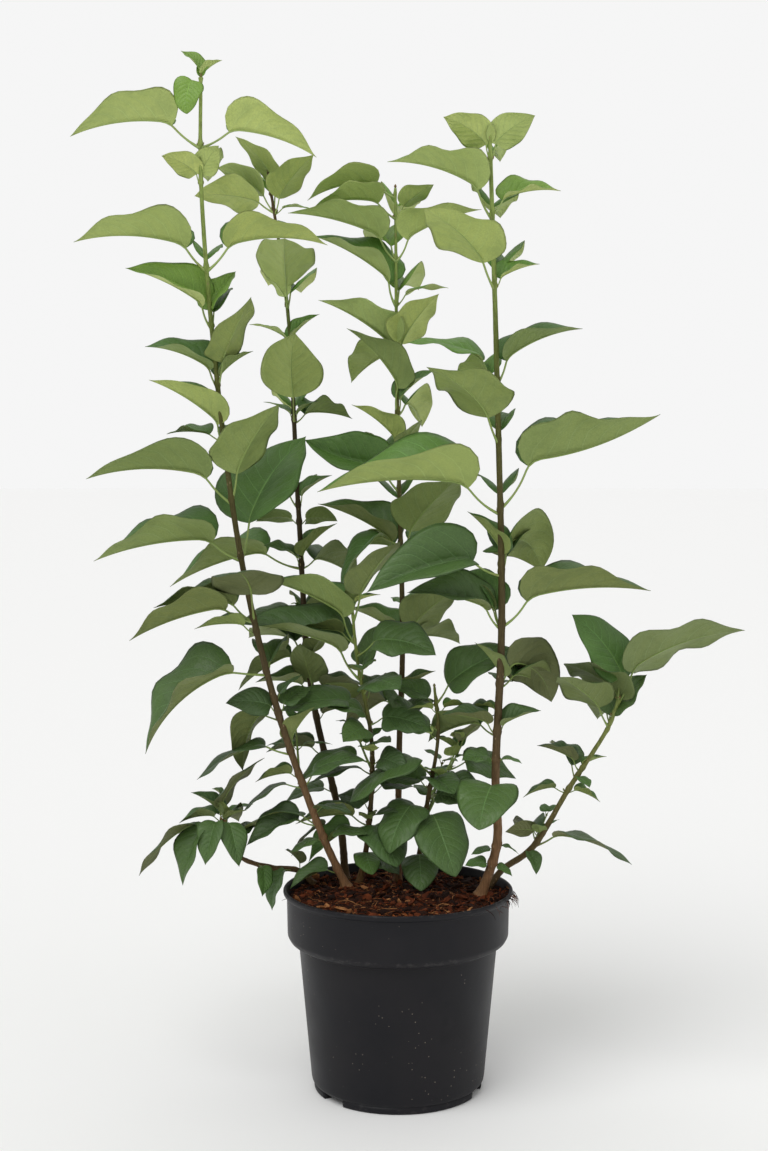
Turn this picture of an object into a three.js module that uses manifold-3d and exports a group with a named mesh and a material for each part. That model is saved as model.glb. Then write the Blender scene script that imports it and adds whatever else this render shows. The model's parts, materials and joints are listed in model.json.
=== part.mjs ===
// A young lilac bush in a round nursery pot. Millimetres, +Z up, the origin at the middle of the
// pot's underside. -Y is the front, +X the right-hand side seen from the front.
import * as THREE from "three";
import { ConvexGeometry } from "three/addons/geometries/ConvexGeometry.js";
import { mergeVertices } from "three/addons/utils/BufferGeometryUtils.js";
import Module from "manifold-3d";

// ---- driving sizes -------------------------------------------------------------------------
const GAP = 0.3; // left between any two pieces that touch

const POT_HEIGHT = 193;
const LIP_RADIUS = 110;
const LIP_DEPTH = 6;
const LIP_WIDTH = 5.5;
const BAND_RADIUS = 106.5;
const BAND_BOTTOM = 142; // the band's rounded lower edge meets the tapered body here
const BODY_TOP_RADIUS = 95;
const BODY_FOOT_RADIUS = 83;
const WALL = 2.4;
const FOOT_RADIUS = 80.5;
const FOOT_WIDTH = 10;
const FOOT_HEIGHT = 9;
const FLOOR_TOP = 9;
const PAD_RADIUS = 24; // the round flat in the middle of the underside, level with the foot ring
const RECESS_HEIGHT = 5;
const DRAIN_HOLES = 8;
const DRAIN_RADIUS = 6;
const DRAIN_CIRCLE = 47;
const NOTCH_WIDTH = 28;
const NOTCH_ANGLES = [-140, -20, 100]; // degrees anticlockwise from +X
const POT_SEGMENTS = 32;

const SOIL_LEVEL = 186;
const SOIL_SWELL = 2.5; // how far the soil's top rises and falls
const STEM_SIDES = 7;
const RING_STEP = 56; // mm of stem between two rings
const FLARE_HEIGHT = 14;

const LOBE_SPREAD = 19; // half the width of a lobe, in degrees seen from the middle of its mass
const LOBE_THIN = 11; // half its thickness, likewise
const SHOULDER = 0.62; // where a lobe is widest, as a share of its reach
const LONG_LOBE = 88; // from this reach on a lobe is also rounded off near its tip
const LOBE_ARCH = 25; // degrees the shoulder of a level lobe is lifted, so that its tip droops
const ARCH_GAIN = 0.35; // degrees more for each degree that a lobe points down
// The corners of a lobe round its axis: share of the spread, share of the thickness, share of
// the arch, share of the reach. The last two round off the tip.
const LOBE_CORNERS = [[1, 0, 1, SHOULDER], [-1, 0, 1, SHOULDER], [0, 1, 1, 0.52], [0, -1, 0.7, 0.5],
  [0.42, 0, 0.5, 0.88], [-0.42, 0, 0.5, 0.88]];

// Each stem: radius at its foot, half way and at its tip, the extra radius of the root flare, and
// the places [x, y, z] it runs through.
const STEMS = {
  left_cane: {
    radii: [4.4, 3.1, 1.7],
    flare: 3.2,
    through: [[-50, 25, SOIL_LEVEL], [-72, 18, 237], [-114, -1, 361], [-147, -24, 511],
      [-168, -55, 701], [-176, -80, 849], [-174, -95, 935]],
  },
  back_left_cane: {
    radii: [4.2, 2.9, 1.4],
    flare: 3,
    through: [[-52, 60, SOIL_LEVEL], [-57, 66, 243], [-86, 83, 372], [-100, 107, 557],
      [-112, 133, 760], [-132, 150, 896]],
  },
  centre_cane: {
    radii: [3.6, 2.5, 1.6],
    flare: 2.6,
    through: [[0, 51, SOIL_LEVEL], [2, 64, 327], [5, 72, 417], [0, 94, 650], [-2, 115, 874]],
  },
  right_cane: {
    radii: [5, 3.1, 1.7],
    flare: 3.4,
    through: [[79, -5, SOIL_LEVEL], [94, -10, 236], [92, -18, 303], [96, -34, 447],
      [89, -61, 673], [80, -88, 887]],
  },
  front_shoot: {
    radii: [3, 2.3, 1.5],
    flare: 2,
    through: [[-38, 46, SOIL_LEVEL], [-30, 40, 227], [-25, 24, 325], [-39, 9, 411], [-44, 0, 465]],
  },
  middle_shoot: {
    radii: [2.8, 2.2, 1.4],
    flare: 1.8,
    through: [[17, 42, SOIL_LEVEL], [28, 30, 263], [39, 18, 339], [35, 10, 384]],
  },
  right_side_shoot: {
    radii: [3.2, 2.5, 1.7],
    flare: 1.6,
    through: [[88, 25, SOIL_LEVEL], [102, 28, 203], [129, 23, 224], [164, 9, 286], [200, -4, 348],
      [209, -10, 375]],
  },
  left_side_shoot: {
    radii: [2.6, 2.1, 1.5],
    flare: 1.4,
    through: [[-82, 38, SOIL_LEVEL], [-98, 43, 198.5], [-124, 42, 202], [-154, 28, 216],
      [-169, 3, 257]],
  },
};

// Each mass of leaves: the stem it sits on, the height of its middle on that stem, the size of
// its core, and its lobes as [degrees round from +X, degrees up, reach].
const MASSES = {
  left_crown_top: {
    on: "left_cane", at: 893, core: 17,
    lobes: [[-165, 72, 74], [10, 70, 70], [-172, -4, 121], [5, -12, 112], [-120, -15, 88],
      [-62, -10, 88], [80, 5, 98], [118, 20, 72]],
  },
  left_crown_upper: {
    on: "left_cane", at: 777, core: 16,
    lobes: [[-170, 10, 122], [5, 15, 112], [-95, -5, 96], [90, 15, 102]],
  },
  left_crown_high_middle: {
    on: "left_cane", at: 712, core: 15,
    lobes: [[-165, 32, 100], [50, 25, 88], [-60, 15, 82], [-140, -15, 92], [110, 0, 72]],
  },
  left_crown_middle: {
    on: "left_cane", at: 600, core: 18,
    lobes: [[-165, 48, 100], [-172, -2, 132], [10, 52, 92], [-128, 20, 92], [-80, -10, 110],
      [85, 5, 102]],
  },
  left_crown_low_middle: {
    on: "left_cane", at: 511, core: 18,
    lobes: [[-175, 0, 142], [-25, 60, 130], [-110, -10, 106], [130, 32, 98], [40, -5, 76]],
  },
  left_crown_lower: {
    on: "left_cane", at: 452, core: 17,
    lobes: [[-176, -5, 118], [150, 10, 100], [-132, 0, 90], [-5, 10, 84], [48, 10, 76],
      [-85, 15, 98]],
  },
  left_crown_low: {
    on: "left_cane", at: 394, core: 16,
    lobes: [[-165, -30, 142], [-20, -5, 46], [-125, -8, 98], [-105, -52, 100], [85, 10, 82]],
  },
  left_crown_foot: {
    on: "left_cane", at: 315, core: 16,
    lobes: [[-178, -12, 96], [-40, 52, 62], [-145, -42, 76], [-70, 5, 90], [125, -22, 86]],
  },
  back_left_crown_top: {
    on: "back_left_cane", at: 868, core: 15,
    lobes: [[-165, 60, 72], [-10, 52, 62], [-25, -15, 50], [-110, -15, 70], [90, 20, 102],
      [142, 5, 78], [178, 2, 76]],
  },
  back_left_crown_upper: {
    on: "back_left_cane", at: 762, core: 15,
    lobes: [[-100, 78, 66], [-165, 50, 70], [-155, -30, 56], [-20, -20, 52], [82, 15, 112],
      [128, 25, 104]],
  },
  back_left_crown_middle: {
    on: "back_left_cane", at: 644, core: 16,
    lobes: [[-120, 76, 86], [-155, 45, 64], [-15, 45, 52], [95, 10, 108], [35, 5, 76],
      [160, -5, 66]],
  },
  back_left_crown_lower: {
    on: "back_left_cane", at: 545, core: 16,
    lobes: [[-170, -20, 120], [140, 15, 102], [-20, 55, 85], [-40, 0, 50], [52, -10, 98],
      [98, 10, 96]],
  },
  back_left_crown_foot: {
    on: "back_left_cane", at: 425, core: 17,
    lobes: [[-150, -15, 58], [-5, 35, 60], [85, -5, 102], [-40, -50, 58], [132, 8, 106],
      [172, -25, 84], [40, -20, 82]],
  },
  centre_crown_top: {
    on: "centre_cane", at: 833, core: 17,
    lobes: [[-165, 24, 96], [176, 2, 116], [-15, 24, 96], [40, 48, 60], [-100, 5, 102],
      [85, 0, 108], [-60, 74, 46], [125, 30, 76]],
  },
  centre_crown_upper: {
    on: "centre_cane", at: 735, core: 17,
    lobes: [[-165, 48, 106], [-5, 38, 70], [165, 15, 82], [-80, 25, 72], [80, 15, 112],
      [-145, -10, 56], [-15, -42, 56], [120, -8, 96]],
  },
  centre_crown_middle: {
    on: "centre_cane", at: 622, core: 16,
    lobes: [[-172, 8, 102], [-150, 44, 62], [-45, 30, 52], [72, -5, 110], [118, -10, 110],
      [-165, -34, 94]],
  },
  centre_crown_lower: {
    on: "centre_cane", at: 545, core: 17,
    lobes: [[-30, 18, 92], [-18, -25, 66], [-95, -5, 96], [95, 10, 104], [-165, -22, 82],
      [45, 0, 92], [145, 5, 70]],
  },
  centre_crown_foot: {
    on: "centre_cane", at: 432, core: 16,
    lobes: [[-20, 20, 76], [-10, -25, 52], [150, 32, 80], [95, 5, 106], [15, -40, 80],
      [48, 0, 94], [135, -25, 88]],
  },
  right_crown_top: {
    on: "right_cane", at: 876, core: 14,
    lobes: [[-165, 50, 52], [15, 46, 52], [-88, 34, 48], [80, 10, 80], [-122, -18, 70],
      [-42, -5, 48]],
  },
  right_crown_shoulder: {
    on: "right_cane", at: 817, core: 15,
    lobes: [[-175, 30, 106], [15, 20, 74], [-95, -5, 96], [85, 10, 98]],
  },
  right_crown_upper: {
    on: "right_cane", at: 755, core: 15,
    lobes: [[-150, 52, 80], [38, 25, 66], [78, 20, 106], [-140, -5, 76], [-55, -5, 74]],
  },
  right_crown_middle: {
    on: "right_cane", at: 670, core: 16,
    lobes: [[175, 30, 96], [10, 36, 100], [-138, 22, 82], [60, -10, 88], [-90, -32, 78],
      [115, 5, 74]],
  },
  right_crown_low_middle: {
    on: "right_cane", at: 558, core: 18,
    lobes: [[-176, 5, 174], [-5, 30, 168], [32, 42, 96], [88, 10, 106], [-95, -10, 102]],
  },
  right_crown_lower: {
    on: "right_cane", at: 478, core: 18,
    lobes: [[-158, -4, 104], [-176, 22, 126], [-5, 0, 144], [35, 46, 104], [75, 8, 106], [128, 32, 98],
      [-92, -5, 96]],
  },
  right_crown_foot: {
    on: "right_cane", at: 376, core: 18,
    lobes: [[-145, 25, 86], [28, 32, 90], [52, -8, 98], [132, -30, 102], [8, -12, 48],
      [-102, -5, 94]],
  },
  front_shoot_top: {
    on: "front_shoot", at: 438, core: 15,
    lobes: [[-168, 26, 110], [176, 0, 100], [-32, -5, 92], [-78, 35, 66], [105, -20, 72],
      [-28, 42, 96]],
  },
  front_shoot_middle: {
    on: "front_shoot", at: 368, core: 15,
    lobes: [[-160, 0, 82], [165, -30, 60], [-62, 10, 76], [0, -20, 60], [-100, -10, 94]],
  },
  front_shoot_low: {
    on: "front_shoot", at: 304, core: 15,
    lobes: [[-168, -5, 112], [170, 12, 84], [-42, 8, 76], [-80, 20, 94], [85, -15, 50]],
  },
  front_shoot_foot: {
    on: "front_shoot", at: 246, core: 14,
    lobes: [[-110, 35, 62], [-50, 30, 90], [-148, -15, 72], [-66, -15, 96], [130, -30, 50]],
  },
  middle_shoot_top: {
    on: "middle_shoot", at: 336, core: 13,
    lobes: [[-95, 82, 60], [140, 55, 74], [-25, 25, 52], [-120, 12, 70], [62, 15, 58],
      [-80, -18, 82]],
  },
  middle_shoot_foot: {
    on: "middle_shoot", at: 262, core: 16,
    lobes: [[-22, 8, 104], [6, 28, 80], [-68, -26, 120], [-108, -26, 106], [118, 0, 52],
      [50, 10, 82]],
  },
  right_side_shoot_top: {
    on: "right_side_shoot", at: 368, core: 14,
    lobes: [[-5, 27, 140], [-165, 58, 100], [-160, 12, 74], [38, 38, 54], [92, -5, 82],
      [-92, 22, 90]],
  },
  right_side_shoot_middle: {
    on: "right_side_shoot", at: 306, core: 12,
    lobes: [[-175, 22, 56], [10, 38, 38], [-160, -18, 66], [22, -45, 38], [100, -8, 72],
      [-98, -12, 76]],
  },
  right_side_shoot_foot: {
    on: "right_side_shoot", at: 240, core: 11,
    lobes: [[-155, 30, 42], [-5, -12, 96], [-45, -35, 42], [98, -5, 72], [-95, 2, 76]],
  },
  left_side_shoot_top: {
    on: "left_side_shoot", at: 250, core: 14,
    lobes: [[-170, -30, 96], [-125, -38, 76], [-10, 60, 74], [-165, 48, 46], [-62, -35, 56],
      [90, -5, 72]],
  },
  left_side_shoot_foot: {
    on: "left_side_shoot", at: 203.5, core: 8,
    lobes: [[-130, 48, 36], [170, -35, 32], [-72, -45, 46], [50, 15, 38]],
  },
};

const COLOURS = {
  pot: 0x2d2d30,
  soil: 0x5a3320,
  cane: 0x5d4a36,
  shoot: 0x6f7440,
  leaf: 0x4f7a3c,
};

// ---- helpers -------------------------------------------------------------------------------
const wasm = await Module();
wasm.setup();

const UP = new THREE.Vector3(0, 0, 1);
const radians = THREE.MathUtils.degToRad;

// A repeatable number from 0 to 1 for a whole number n.
function chance(n) {
  const wave = Math.sin(n * 127.1 + 11.7) * 43758.5453;
  return wave - Math.floor(wave);
}

// The unit vector that points so many degrees round from +X and so many degrees up.
function pointing(round, up) {
  const a = radians(round);
  const b = radians(up);
  return new THREE.Vector3(Math.cos(a) * Math.cos(b), Math.sin(a) * Math.cos(b), Math.sin(b));
}

// One surface with shared vertices, no collapsed faces, and its faces pointing out.
function closed(geometry) {
  const bare = new THREE.BufferGeometry();
  bare.setAttribute("position", geometry.getAttribute("position"));
  if (geometry.index) bare.setIndex(geometry.index);
  const merged = mergeVertices(bare, 1e-4);
  const from = merged.index.array;
  const faces = [];
  for (let i = 0; i < from.length; i += 3) {
    const [a, b, c] = [from[i], from[i + 1], from[i + 2]];
    if (a !== b && b !== c && c !== a) faces.push(a, b, c);
  }
  merged.setIndex(faces);
  return volume(merged) < 0 ? turned(merged) : merged;
}

// Six times the volume held by a closed surface, with its sign.
function volume(geometry) {
  const place = geometry.getAttribute("position");
  const index = geometry.index.array;
  const [a, b, c] = [new THREE.Vector3(), new THREE.Vector3(), new THREE.Vector3()];
  let sum = 0;
  for (let i = 0; i < index.length; i += 3) {
    a.fromBufferAttribute(place, index[i]);
    b.fromBufferAttribute(place, index[i + 1]);
    c.fromBufferAttribute(place, index[i + 2]);
    sum += a.dot(b.cross(c));
  }
  return sum;
}

function turned(geometry) {
  const index = Array.from(geometry.index.array);
  for (let i = 0; i < index.length; i += 3) {
    [index[i + 1], index[i + 2]] = [index[i + 2], index[i + 1]];
  }
  return geometry.setIndex(index);
}

function solid(geometry) {
  return new wasm.Manifold(new wasm.Mesh({
    numProp: 3,
    vertProperties: new Float32Array(geometry.getAttribute("position").array),
    triVerts: new Uint32Array(geometry.index.array),
  }));
}

function geometryOf(made) {
  const mesh = made.getMesh();
  const geometry = new THREE.BufferGeometry();
  geometry.setAttribute("position", new THREE.BufferAttribute(mesh.vertProperties, 3));
  geometry.setIndex(new THREE.BufferAttribute(mesh.triVerts, 1));
  return geometry;
}

// The same surface with every face moved out by a distance: each vertex steps until it stands
// that far in front of all the faces that meet at it.
function grown(geometry, distance) {
  const place = geometry.getAttribute("position");
  const index = geometry.index.array;
  const corners = Array.from({ length: place.count }, (_, i) =>
    new THREE.Vector3().fromBufferAttribute(place, i));
  const facing = corners.map(() => []);
  for (let i = 0; i < index.length; i += 3) {
    const [a, b, c] = [corners[index[i]], corners[index[i + 1]], corners[index[i + 2]]];
    const normal = b.clone().sub(a).cross(c.clone().sub(a));
    if (normal.length() < 1e-6) continue;
    normal.normalize();
    for (let k = 0; k < 3; k++) facing[index[i + k]].push(normal);
  }
  const out = new Float32Array(place.count * 3);
  corners.forEach((corner, i) => {
    const step = new THREE.Vector3();
    for (let round = 0; round < 24; round++) {
      for (const normal of facing[i]) {
        const short = distance - normal.dot(step);
        if (short > 0) step.addScaledVector(normal, short);
      }
    }
    step.clampLength(0, 5 * distance);
    corner.clone().add(step).toArray(out, 3 * i);
  });
  const bigger = new THREE.BufferGeometry();
  bigger.setAttribute("position", new THREE.BufferAttribute(out, 3));
  return bigger.setIndex(Array.from(index));
}

// A body of revolution about Z from [radius, height] pairs that start and end on the axis.
function revolved(profile) {
  const points = profile.map(([radius, height]) => new THREE.Vector2(radius, height));
  return closed(new THREE.LatheGeometry(points, POT_SEGMENTS).rotateX(Math.PI / 2));
}

function largest(made) {
  return made.decompose().reduce((best, body) => (body.volume() > best.volume() ? body : best));
}

// ---- pot and soil --------------------------------------------------------------------------
// The inside of the pot from the lip down, also used for the soil that fills it.
const INSIDE = [
  [LIP_RADIUS - LIP_WIDTH, POT_HEIGHT - 2],
  [BAND_RADIUS - WALL, POT_HEIGHT - LIP_DEPTH - 3],
  [BAND_RADIUS - WALL - 0.8, BAND_BOTTOM + 7],
  [BODY_TOP_RADIUS - WALL, BAND_BOTTOM],
  [BODY_FOOT_RADIUS - WALL, FLOOR_TOP],
];

function potSolid() {
  const shell = solid(revolved([
    [0, 0],
    [PAD_RADIUS, 0],
    [PAD_RADIUS + 2, RECESS_HEIGHT],
    [FOOT_RADIUS - FOOT_WIDTH, RECESS_HEIGHT],
    [FOOT_RADIUS - FOOT_WIDTH + 1, 0],
    [FOOT_RADIUS, 0],
    [FOOT_RADIUS + 0.6, FOOT_HEIGHT],
    [BODY_FOOT_RADIUS, FOOT_HEIGHT],
    [BODY_TOP_RADIUS, BAND_BOTTOM],
    [BAND_RADIUS - 3.5, BAND_BOTTOM + 2],
    [BAND_RADIUS - 0.7, BAND_BOTTOM + 7],
    [BAND_RADIUS, POT_HEIGHT - LIP_DEPTH],
    [LIP_RADIUS, POT_HEIGHT - LIP_DEPTH + 1],
    [LIP_RADIUS, POT_HEIGHT - 1.8],
    [LIP_RADIUS - 1.8, POT_HEIGHT],
    [LIP_RADIUS - LIP_WIDTH + 1.6, POT_HEIGHT],
    ...INSIDE,
    [0, FLOOR_TOP],
  ]));
  const cutters = NOTCH_ANGLES.map((angle) => {
    const length = 30;
    const block = new THREE.BoxGeometry(length, NOTCH_WIDTH, 2 * FOOT_HEIGHT);
    block.translate(BODY_FOOT_RADIUS - FOOT_WIDTH - 4 + length / 2, 0, 0);
    return solid(closed(block.rotateZ(radians(angle))));
  });
  for (let i = 0; i < DRAIN_HOLES; i++) {
    const hole = new THREE.CylinderGeometry(DRAIN_RADIUS, DRAIN_RADIUS, 3 * FLOOR_TOP, 8);
    hole.rotateX(Math.PI / 2).translate(DRAIN_CIRCLE, 0, FLOOR_TOP);
    cutters.push(solid(closed(hole.rotateZ((2 * Math.PI * (i + 0.5)) / DRAIN_HOLES))));
  }
  return cutters.reduce((body, cutter) => body.subtract(cutter), shell);
}

function soilSolid(feet) {
  const side = INSIDE.slice(1).map(([radius, height]) => [radius - GAP, height]);
  side[side.length - 1][1] += GAP;
  const rings = [96, 70, 44, 21, 0].map((radius) => [radius, SOIL_LEVEL]);
  const edge = [side[0][0], SOIL_LEVEL - 2.5];
  side[0] = edge;
  const lump = revolved([...rings.reverse(), ...side, [0, FLOOR_TOP + GAP]]);
  const place = lump.getAttribute("position");
  for (let i = 0; i < place.count; i++) {
    if (place.getZ(i) < SOIL_LEVEL - 1) continue;
    const [x, y] = [place.getX(i), place.getY(i)];
    const nearest = Math.min(...feet.map(([fx, fy]) => Math.hypot(x - fx, y - fy)));
    const free = THREE.MathUtils.smoothstep(nearest, 12, 30);
    const swell = Math.sin(x / 17 + 1) * Math.cos(y / 13 - 0.6) + 0.5 * Math.sin((x - y) / 9);
    place.setZ(i, SOIL_LEVEL - 0.5 + free * (SOIL_SWELL * swell * 0.66));
  }
  return solid(lump);
}

// ---- stems ---------------------------------------------------------------------------------
function curveOf(stem) {
  return new THREE.CatmullRomCurve3(
    stem.through.map((point) => new THREE.Vector3(...point)), false, "centripetal");
}

// A tapering tube along the stem's curve, cut flat and level at its foot. The taper runs straight
// from one named radius to the next, and the flare dies away above the foot.
function stemGeometry(stem) {
  const curve = curveOf(stem);
  const length = curve.getLength();
  const steps = Math.ceil(length / RING_STEP);
  const [foot, middle, tip] = stem.radii;
  const lengths = [0, FLARE_HEIGHT * 0.35, FLARE_HEIGHT];
  for (let i = 1; i <= steps; i++) {
    const at = (length * i) / steps;
    if (at > FLARE_HEIGHT * 1.6) lengths.push(at);
  }
  const rows = lengths.map((along) => {
    const share = along / length;
    const centre = curve.getPointAt(share);
    const tangent = along === 0 ? UP : curve.getTangentAt(share);
    const across = new THREE.Vector3(0, 1, 0).cross(tangent).normalize();
    const beyond = tangent.clone().cross(across);
    const taper = share < 0.5
      ? THREE.MathUtils.lerp(foot, middle, share * 2)
      : THREE.MathUtils.lerp(middle, tip, share * 2 - 1);
    const radius = taper + stem.flare * Math.exp((-3 * along) / FLARE_HEIGHT);
    if (along === 0) centre.z = SOIL_LEVEL + GAP;
    return Array.from({ length: STEM_SIDES }, (_, k) => {
      const turn = (2 * Math.PI * k) / STEM_SIDES;
      return centre.clone()
        .addScaledVector(across, radius * Math.cos(turn))
        .addScaledVector(beyond, radius * Math.sin(turn));
    });
  });
  const footMiddle = curve.getPointAt(0);
  footMiddle.z = SOIL_LEVEL + GAP;
  const tipMiddle = curve.getPointAt(1).addScaledVector(curve.getTangentAt(1), tip);
  const corners = [footMiddle, ...rows.flat(), tipMiddle];
  const faces = [];
  const last = corners.length - 1;
  for (let k = 0; k < STEM_SIDES; k++) {
    const next = (k + 1) % STEM_SIDES;
    faces.push(0, 1 + next, 1 + k);
    for (let row = 0; row + 1 < rows.length; row++) {
      const low = 1 + row * STEM_SIDES;
      const high = low + STEM_SIDES;
      faces.push(low + k, low + next, high + next);
      faces.push(low + k, high + next, high + k);
    }
    const top = last - STEM_SIDES;
    faces.push(top + k, top + next, last);
  }
  const geometry = new THREE.BufferGeometry().setFromPoints(corners);
  return closed(geometry.setIndex(faces));
}

// The place on a stem at a height.
function placeOn(stem, height) {
  const curve = curveOf(stem);
  let [low, high] = [0, 1];
  for (let i = 0; i < 30; i++) {
    const middle = (low + high) / 2;
    if (curve.getPointAt(middle).z < height) low = middle;
    else high = middle;
  }
  return curve.getPointAt(low);
}

// ---- masses of leaves ----------------------------------------------------------------------
// A closed lobed body: directions are picked at each lobe's tip, round its shoulder, half way
// between neighbouring lobes and over the rest of the ball. They are joined up as the hull of
// the unit ball and pushed out to their reach, or to the core where no lobe is.
function massGeometry(mass, seed) {
  const centre = placeOn(STEMS[mass.on], mass.at);
  const lobes = mass.lobes.map(([round, up, reach]) => {
    const axis = pointing(round, up);
    const side = UP.clone().cross(axis).normalize();
    const arch = Math.tan(radians(LOBE_ARCH - ARCH_GAIN * up));
    return { axis, side, over: axis.clone().cross(side), arch, reach };
  });
  const picked = [];
  const add = (direction, clearance, reach) => {
    const unit = direction.clone().normalize();
    if (picked.some((other) => other.unit.angleTo(unit) < radians(clearance))) return;
    picked.push({ unit, reach });
  };
  lobes.forEach((lobe) => add(lobe.axis, 1, lobe.reach));
  lobes.forEach((lobe, n) => {
    const corners = lobe.reach < LONG_LOBE ? LOBE_CORNERS.slice(0, 4) : LOBE_CORNERS;
    corners.forEach(([across, above, arched, share], k) => {
      const direction = lobe.axis.clone()
        .addScaledVector(lobe.side, Math.tan(radians(LOBE_SPREAD)) * across)
        .addScaledVector(lobe.over, Math.tan(radians(LOBE_THIN)) * above)
        .addScaledVector(lobe.over, lobe.arch * arched);
      const uneven = 0.94 + 0.12 * chance(seed * 61 + n * 7 + k);
      add(direction, 4, lobe.reach * share * uneven);
    });
  });
  lobes.forEach((lobe, n) => lobes.slice(n + 1).forEach((other) => {
    const between = lobe.axis.angleTo(other.axis);
    const valley = lobe.axis.clone().add(other.axis).normalize();
    const near = Math.min(...lobes.map((each) => each.axis.angleTo(valley)));
    if (between < radians(36) || between > radians(125) || near < between / 2 - 0.05) return;
    add(valley, 9, mass.core);
  }));
  const filler = new THREE.IcosahedronGeometry(1, 0).getAttribute("position");
  const spin = new THREE.Euler(chance(seed), 2 * chance(seed + 0.5), 3 * chance(seed + 0.7));
  for (let i = 0; i < filler.count; i++) {
    const direction = new THREE.Vector3().fromBufferAttribute(filler, i).applyEuler(spin);
    const uneven = 0.85 + 0.3 * chance(seed * 17 + i);
    add(direction, 24, mass.core * uneven);
  }
  const ball = closed(new ConvexGeometry(picked.map((pick) => pick.unit)));
  const place = ball.getAttribute("position");
  const unit = new THREE.Vector3();
  for (let i = 0; i < place.count; i++) {
    unit.fromBufferAttribute(place, i);
    const pick = picked.reduce((best, other) =>
      (other.unit.dot(unit) > best.unit.dot(unit) ? other : best));
    unit.copy(pick.unit).multiplyScalar(pick.reach).add(centre);
    place.setXYZ(i, unit.x, unit.y, unit.z);
  }
  return ball;
}

// ---- the bush ------------------------------------------------------------------------------
const group = new THREE.Group();

function place(name, made, colour) {
  const material = new THREE.MeshStandardMaterial({ color: colour, roughness: 0.7 });
  material.name = name;
  const mesh = new THREE.Mesh(geometryOf(made), material);
  mesh.name = name;
  group.add(mesh);
}

const feet = Object.values(STEMS).map((stem) => stem.through[0]);
const stemShapes = Object.entries(STEMS).map(([name, stem]) => [name, stemGeometry(stem)]);
const aroundStems = stemShapes.map(([, geometry]) => solid(grown(geometry, GAP)));
const pot = potSolid();
const soil = aroundStems.reduce((body, cutter) => body.subtract(cutter), soilSolid(feet));
const aroundPot = solid(revolved([
  [0, -1],
  [LIP_RADIUS + 1, -1],
  [LIP_RADIUS + 1, POT_HEIGHT + 1],
  [0, POT_HEIGHT + 1],
]));

place("pot", pot, COLOURS.pot);
place("soil", largest(soil), COLOURS.soil);
for (const [name, geometry] of stemShapes) {
  place(name, solid(geometry), name.endsWith("cane") ? COLOURS.cane : COLOURS.shoot);
}

const cutters = [...aroundStems, aroundPot];
Object.entries(MASSES).forEach(([name, mass], n) => {
  const shape = massGeometry(mass, n + 1);
  const cut = cutters.reduce((body, cutter) => body.subtract(cutter), solid(shape));
  place(name, largest(cut), COLOURS.leaf);
  cutters.push(solid(grown(shape, GAP)));
});

export default group;
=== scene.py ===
# %% [markdown]
# # A potted lilac bush
# The real object is a young lilac in a round black nursery pot: a handful of thin canes that rise
# out of the potting mix and carry heart-shaped leaves in opposite pairs, with bare stem between
# the pairs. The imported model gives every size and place. Here each of its parts gets its looks:
# the pot's moulded plastic, the crumbly mix, bark with real relief, and every leaf as a mesh.

# %% Load the frame
import json
import math

import bpy
import numpy as np
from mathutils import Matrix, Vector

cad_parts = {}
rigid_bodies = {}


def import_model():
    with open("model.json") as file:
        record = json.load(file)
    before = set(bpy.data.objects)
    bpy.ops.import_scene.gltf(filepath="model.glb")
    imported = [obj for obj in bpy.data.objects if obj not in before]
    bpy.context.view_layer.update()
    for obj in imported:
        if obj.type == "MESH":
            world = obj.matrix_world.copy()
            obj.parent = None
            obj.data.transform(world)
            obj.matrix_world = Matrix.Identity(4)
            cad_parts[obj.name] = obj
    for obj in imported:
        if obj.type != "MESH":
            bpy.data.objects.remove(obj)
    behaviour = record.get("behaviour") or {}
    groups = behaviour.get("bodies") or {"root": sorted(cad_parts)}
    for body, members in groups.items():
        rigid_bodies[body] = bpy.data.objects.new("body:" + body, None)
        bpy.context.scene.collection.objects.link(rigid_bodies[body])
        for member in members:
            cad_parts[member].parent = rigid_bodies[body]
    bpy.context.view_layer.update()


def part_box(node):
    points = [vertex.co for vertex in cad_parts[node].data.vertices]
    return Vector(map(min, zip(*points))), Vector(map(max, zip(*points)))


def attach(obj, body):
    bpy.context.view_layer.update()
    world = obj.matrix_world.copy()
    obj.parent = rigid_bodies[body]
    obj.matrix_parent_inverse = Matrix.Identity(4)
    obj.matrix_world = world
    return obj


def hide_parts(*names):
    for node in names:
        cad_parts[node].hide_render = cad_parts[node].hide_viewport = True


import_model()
MM = 0.001

# %% [markdown]
# ## Gathering a mesh
# A bush is thousands of small shapes, and Blender is quickest when they are joined. A Pile
# collects points and faces as whole arrays, and turns them into one object at the end. Faces with
# four corners and with three are kept apart, because each kind fills a plain array. Every face
# carries a material number and, for each corner, a place on each of the pile's maps.


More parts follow.
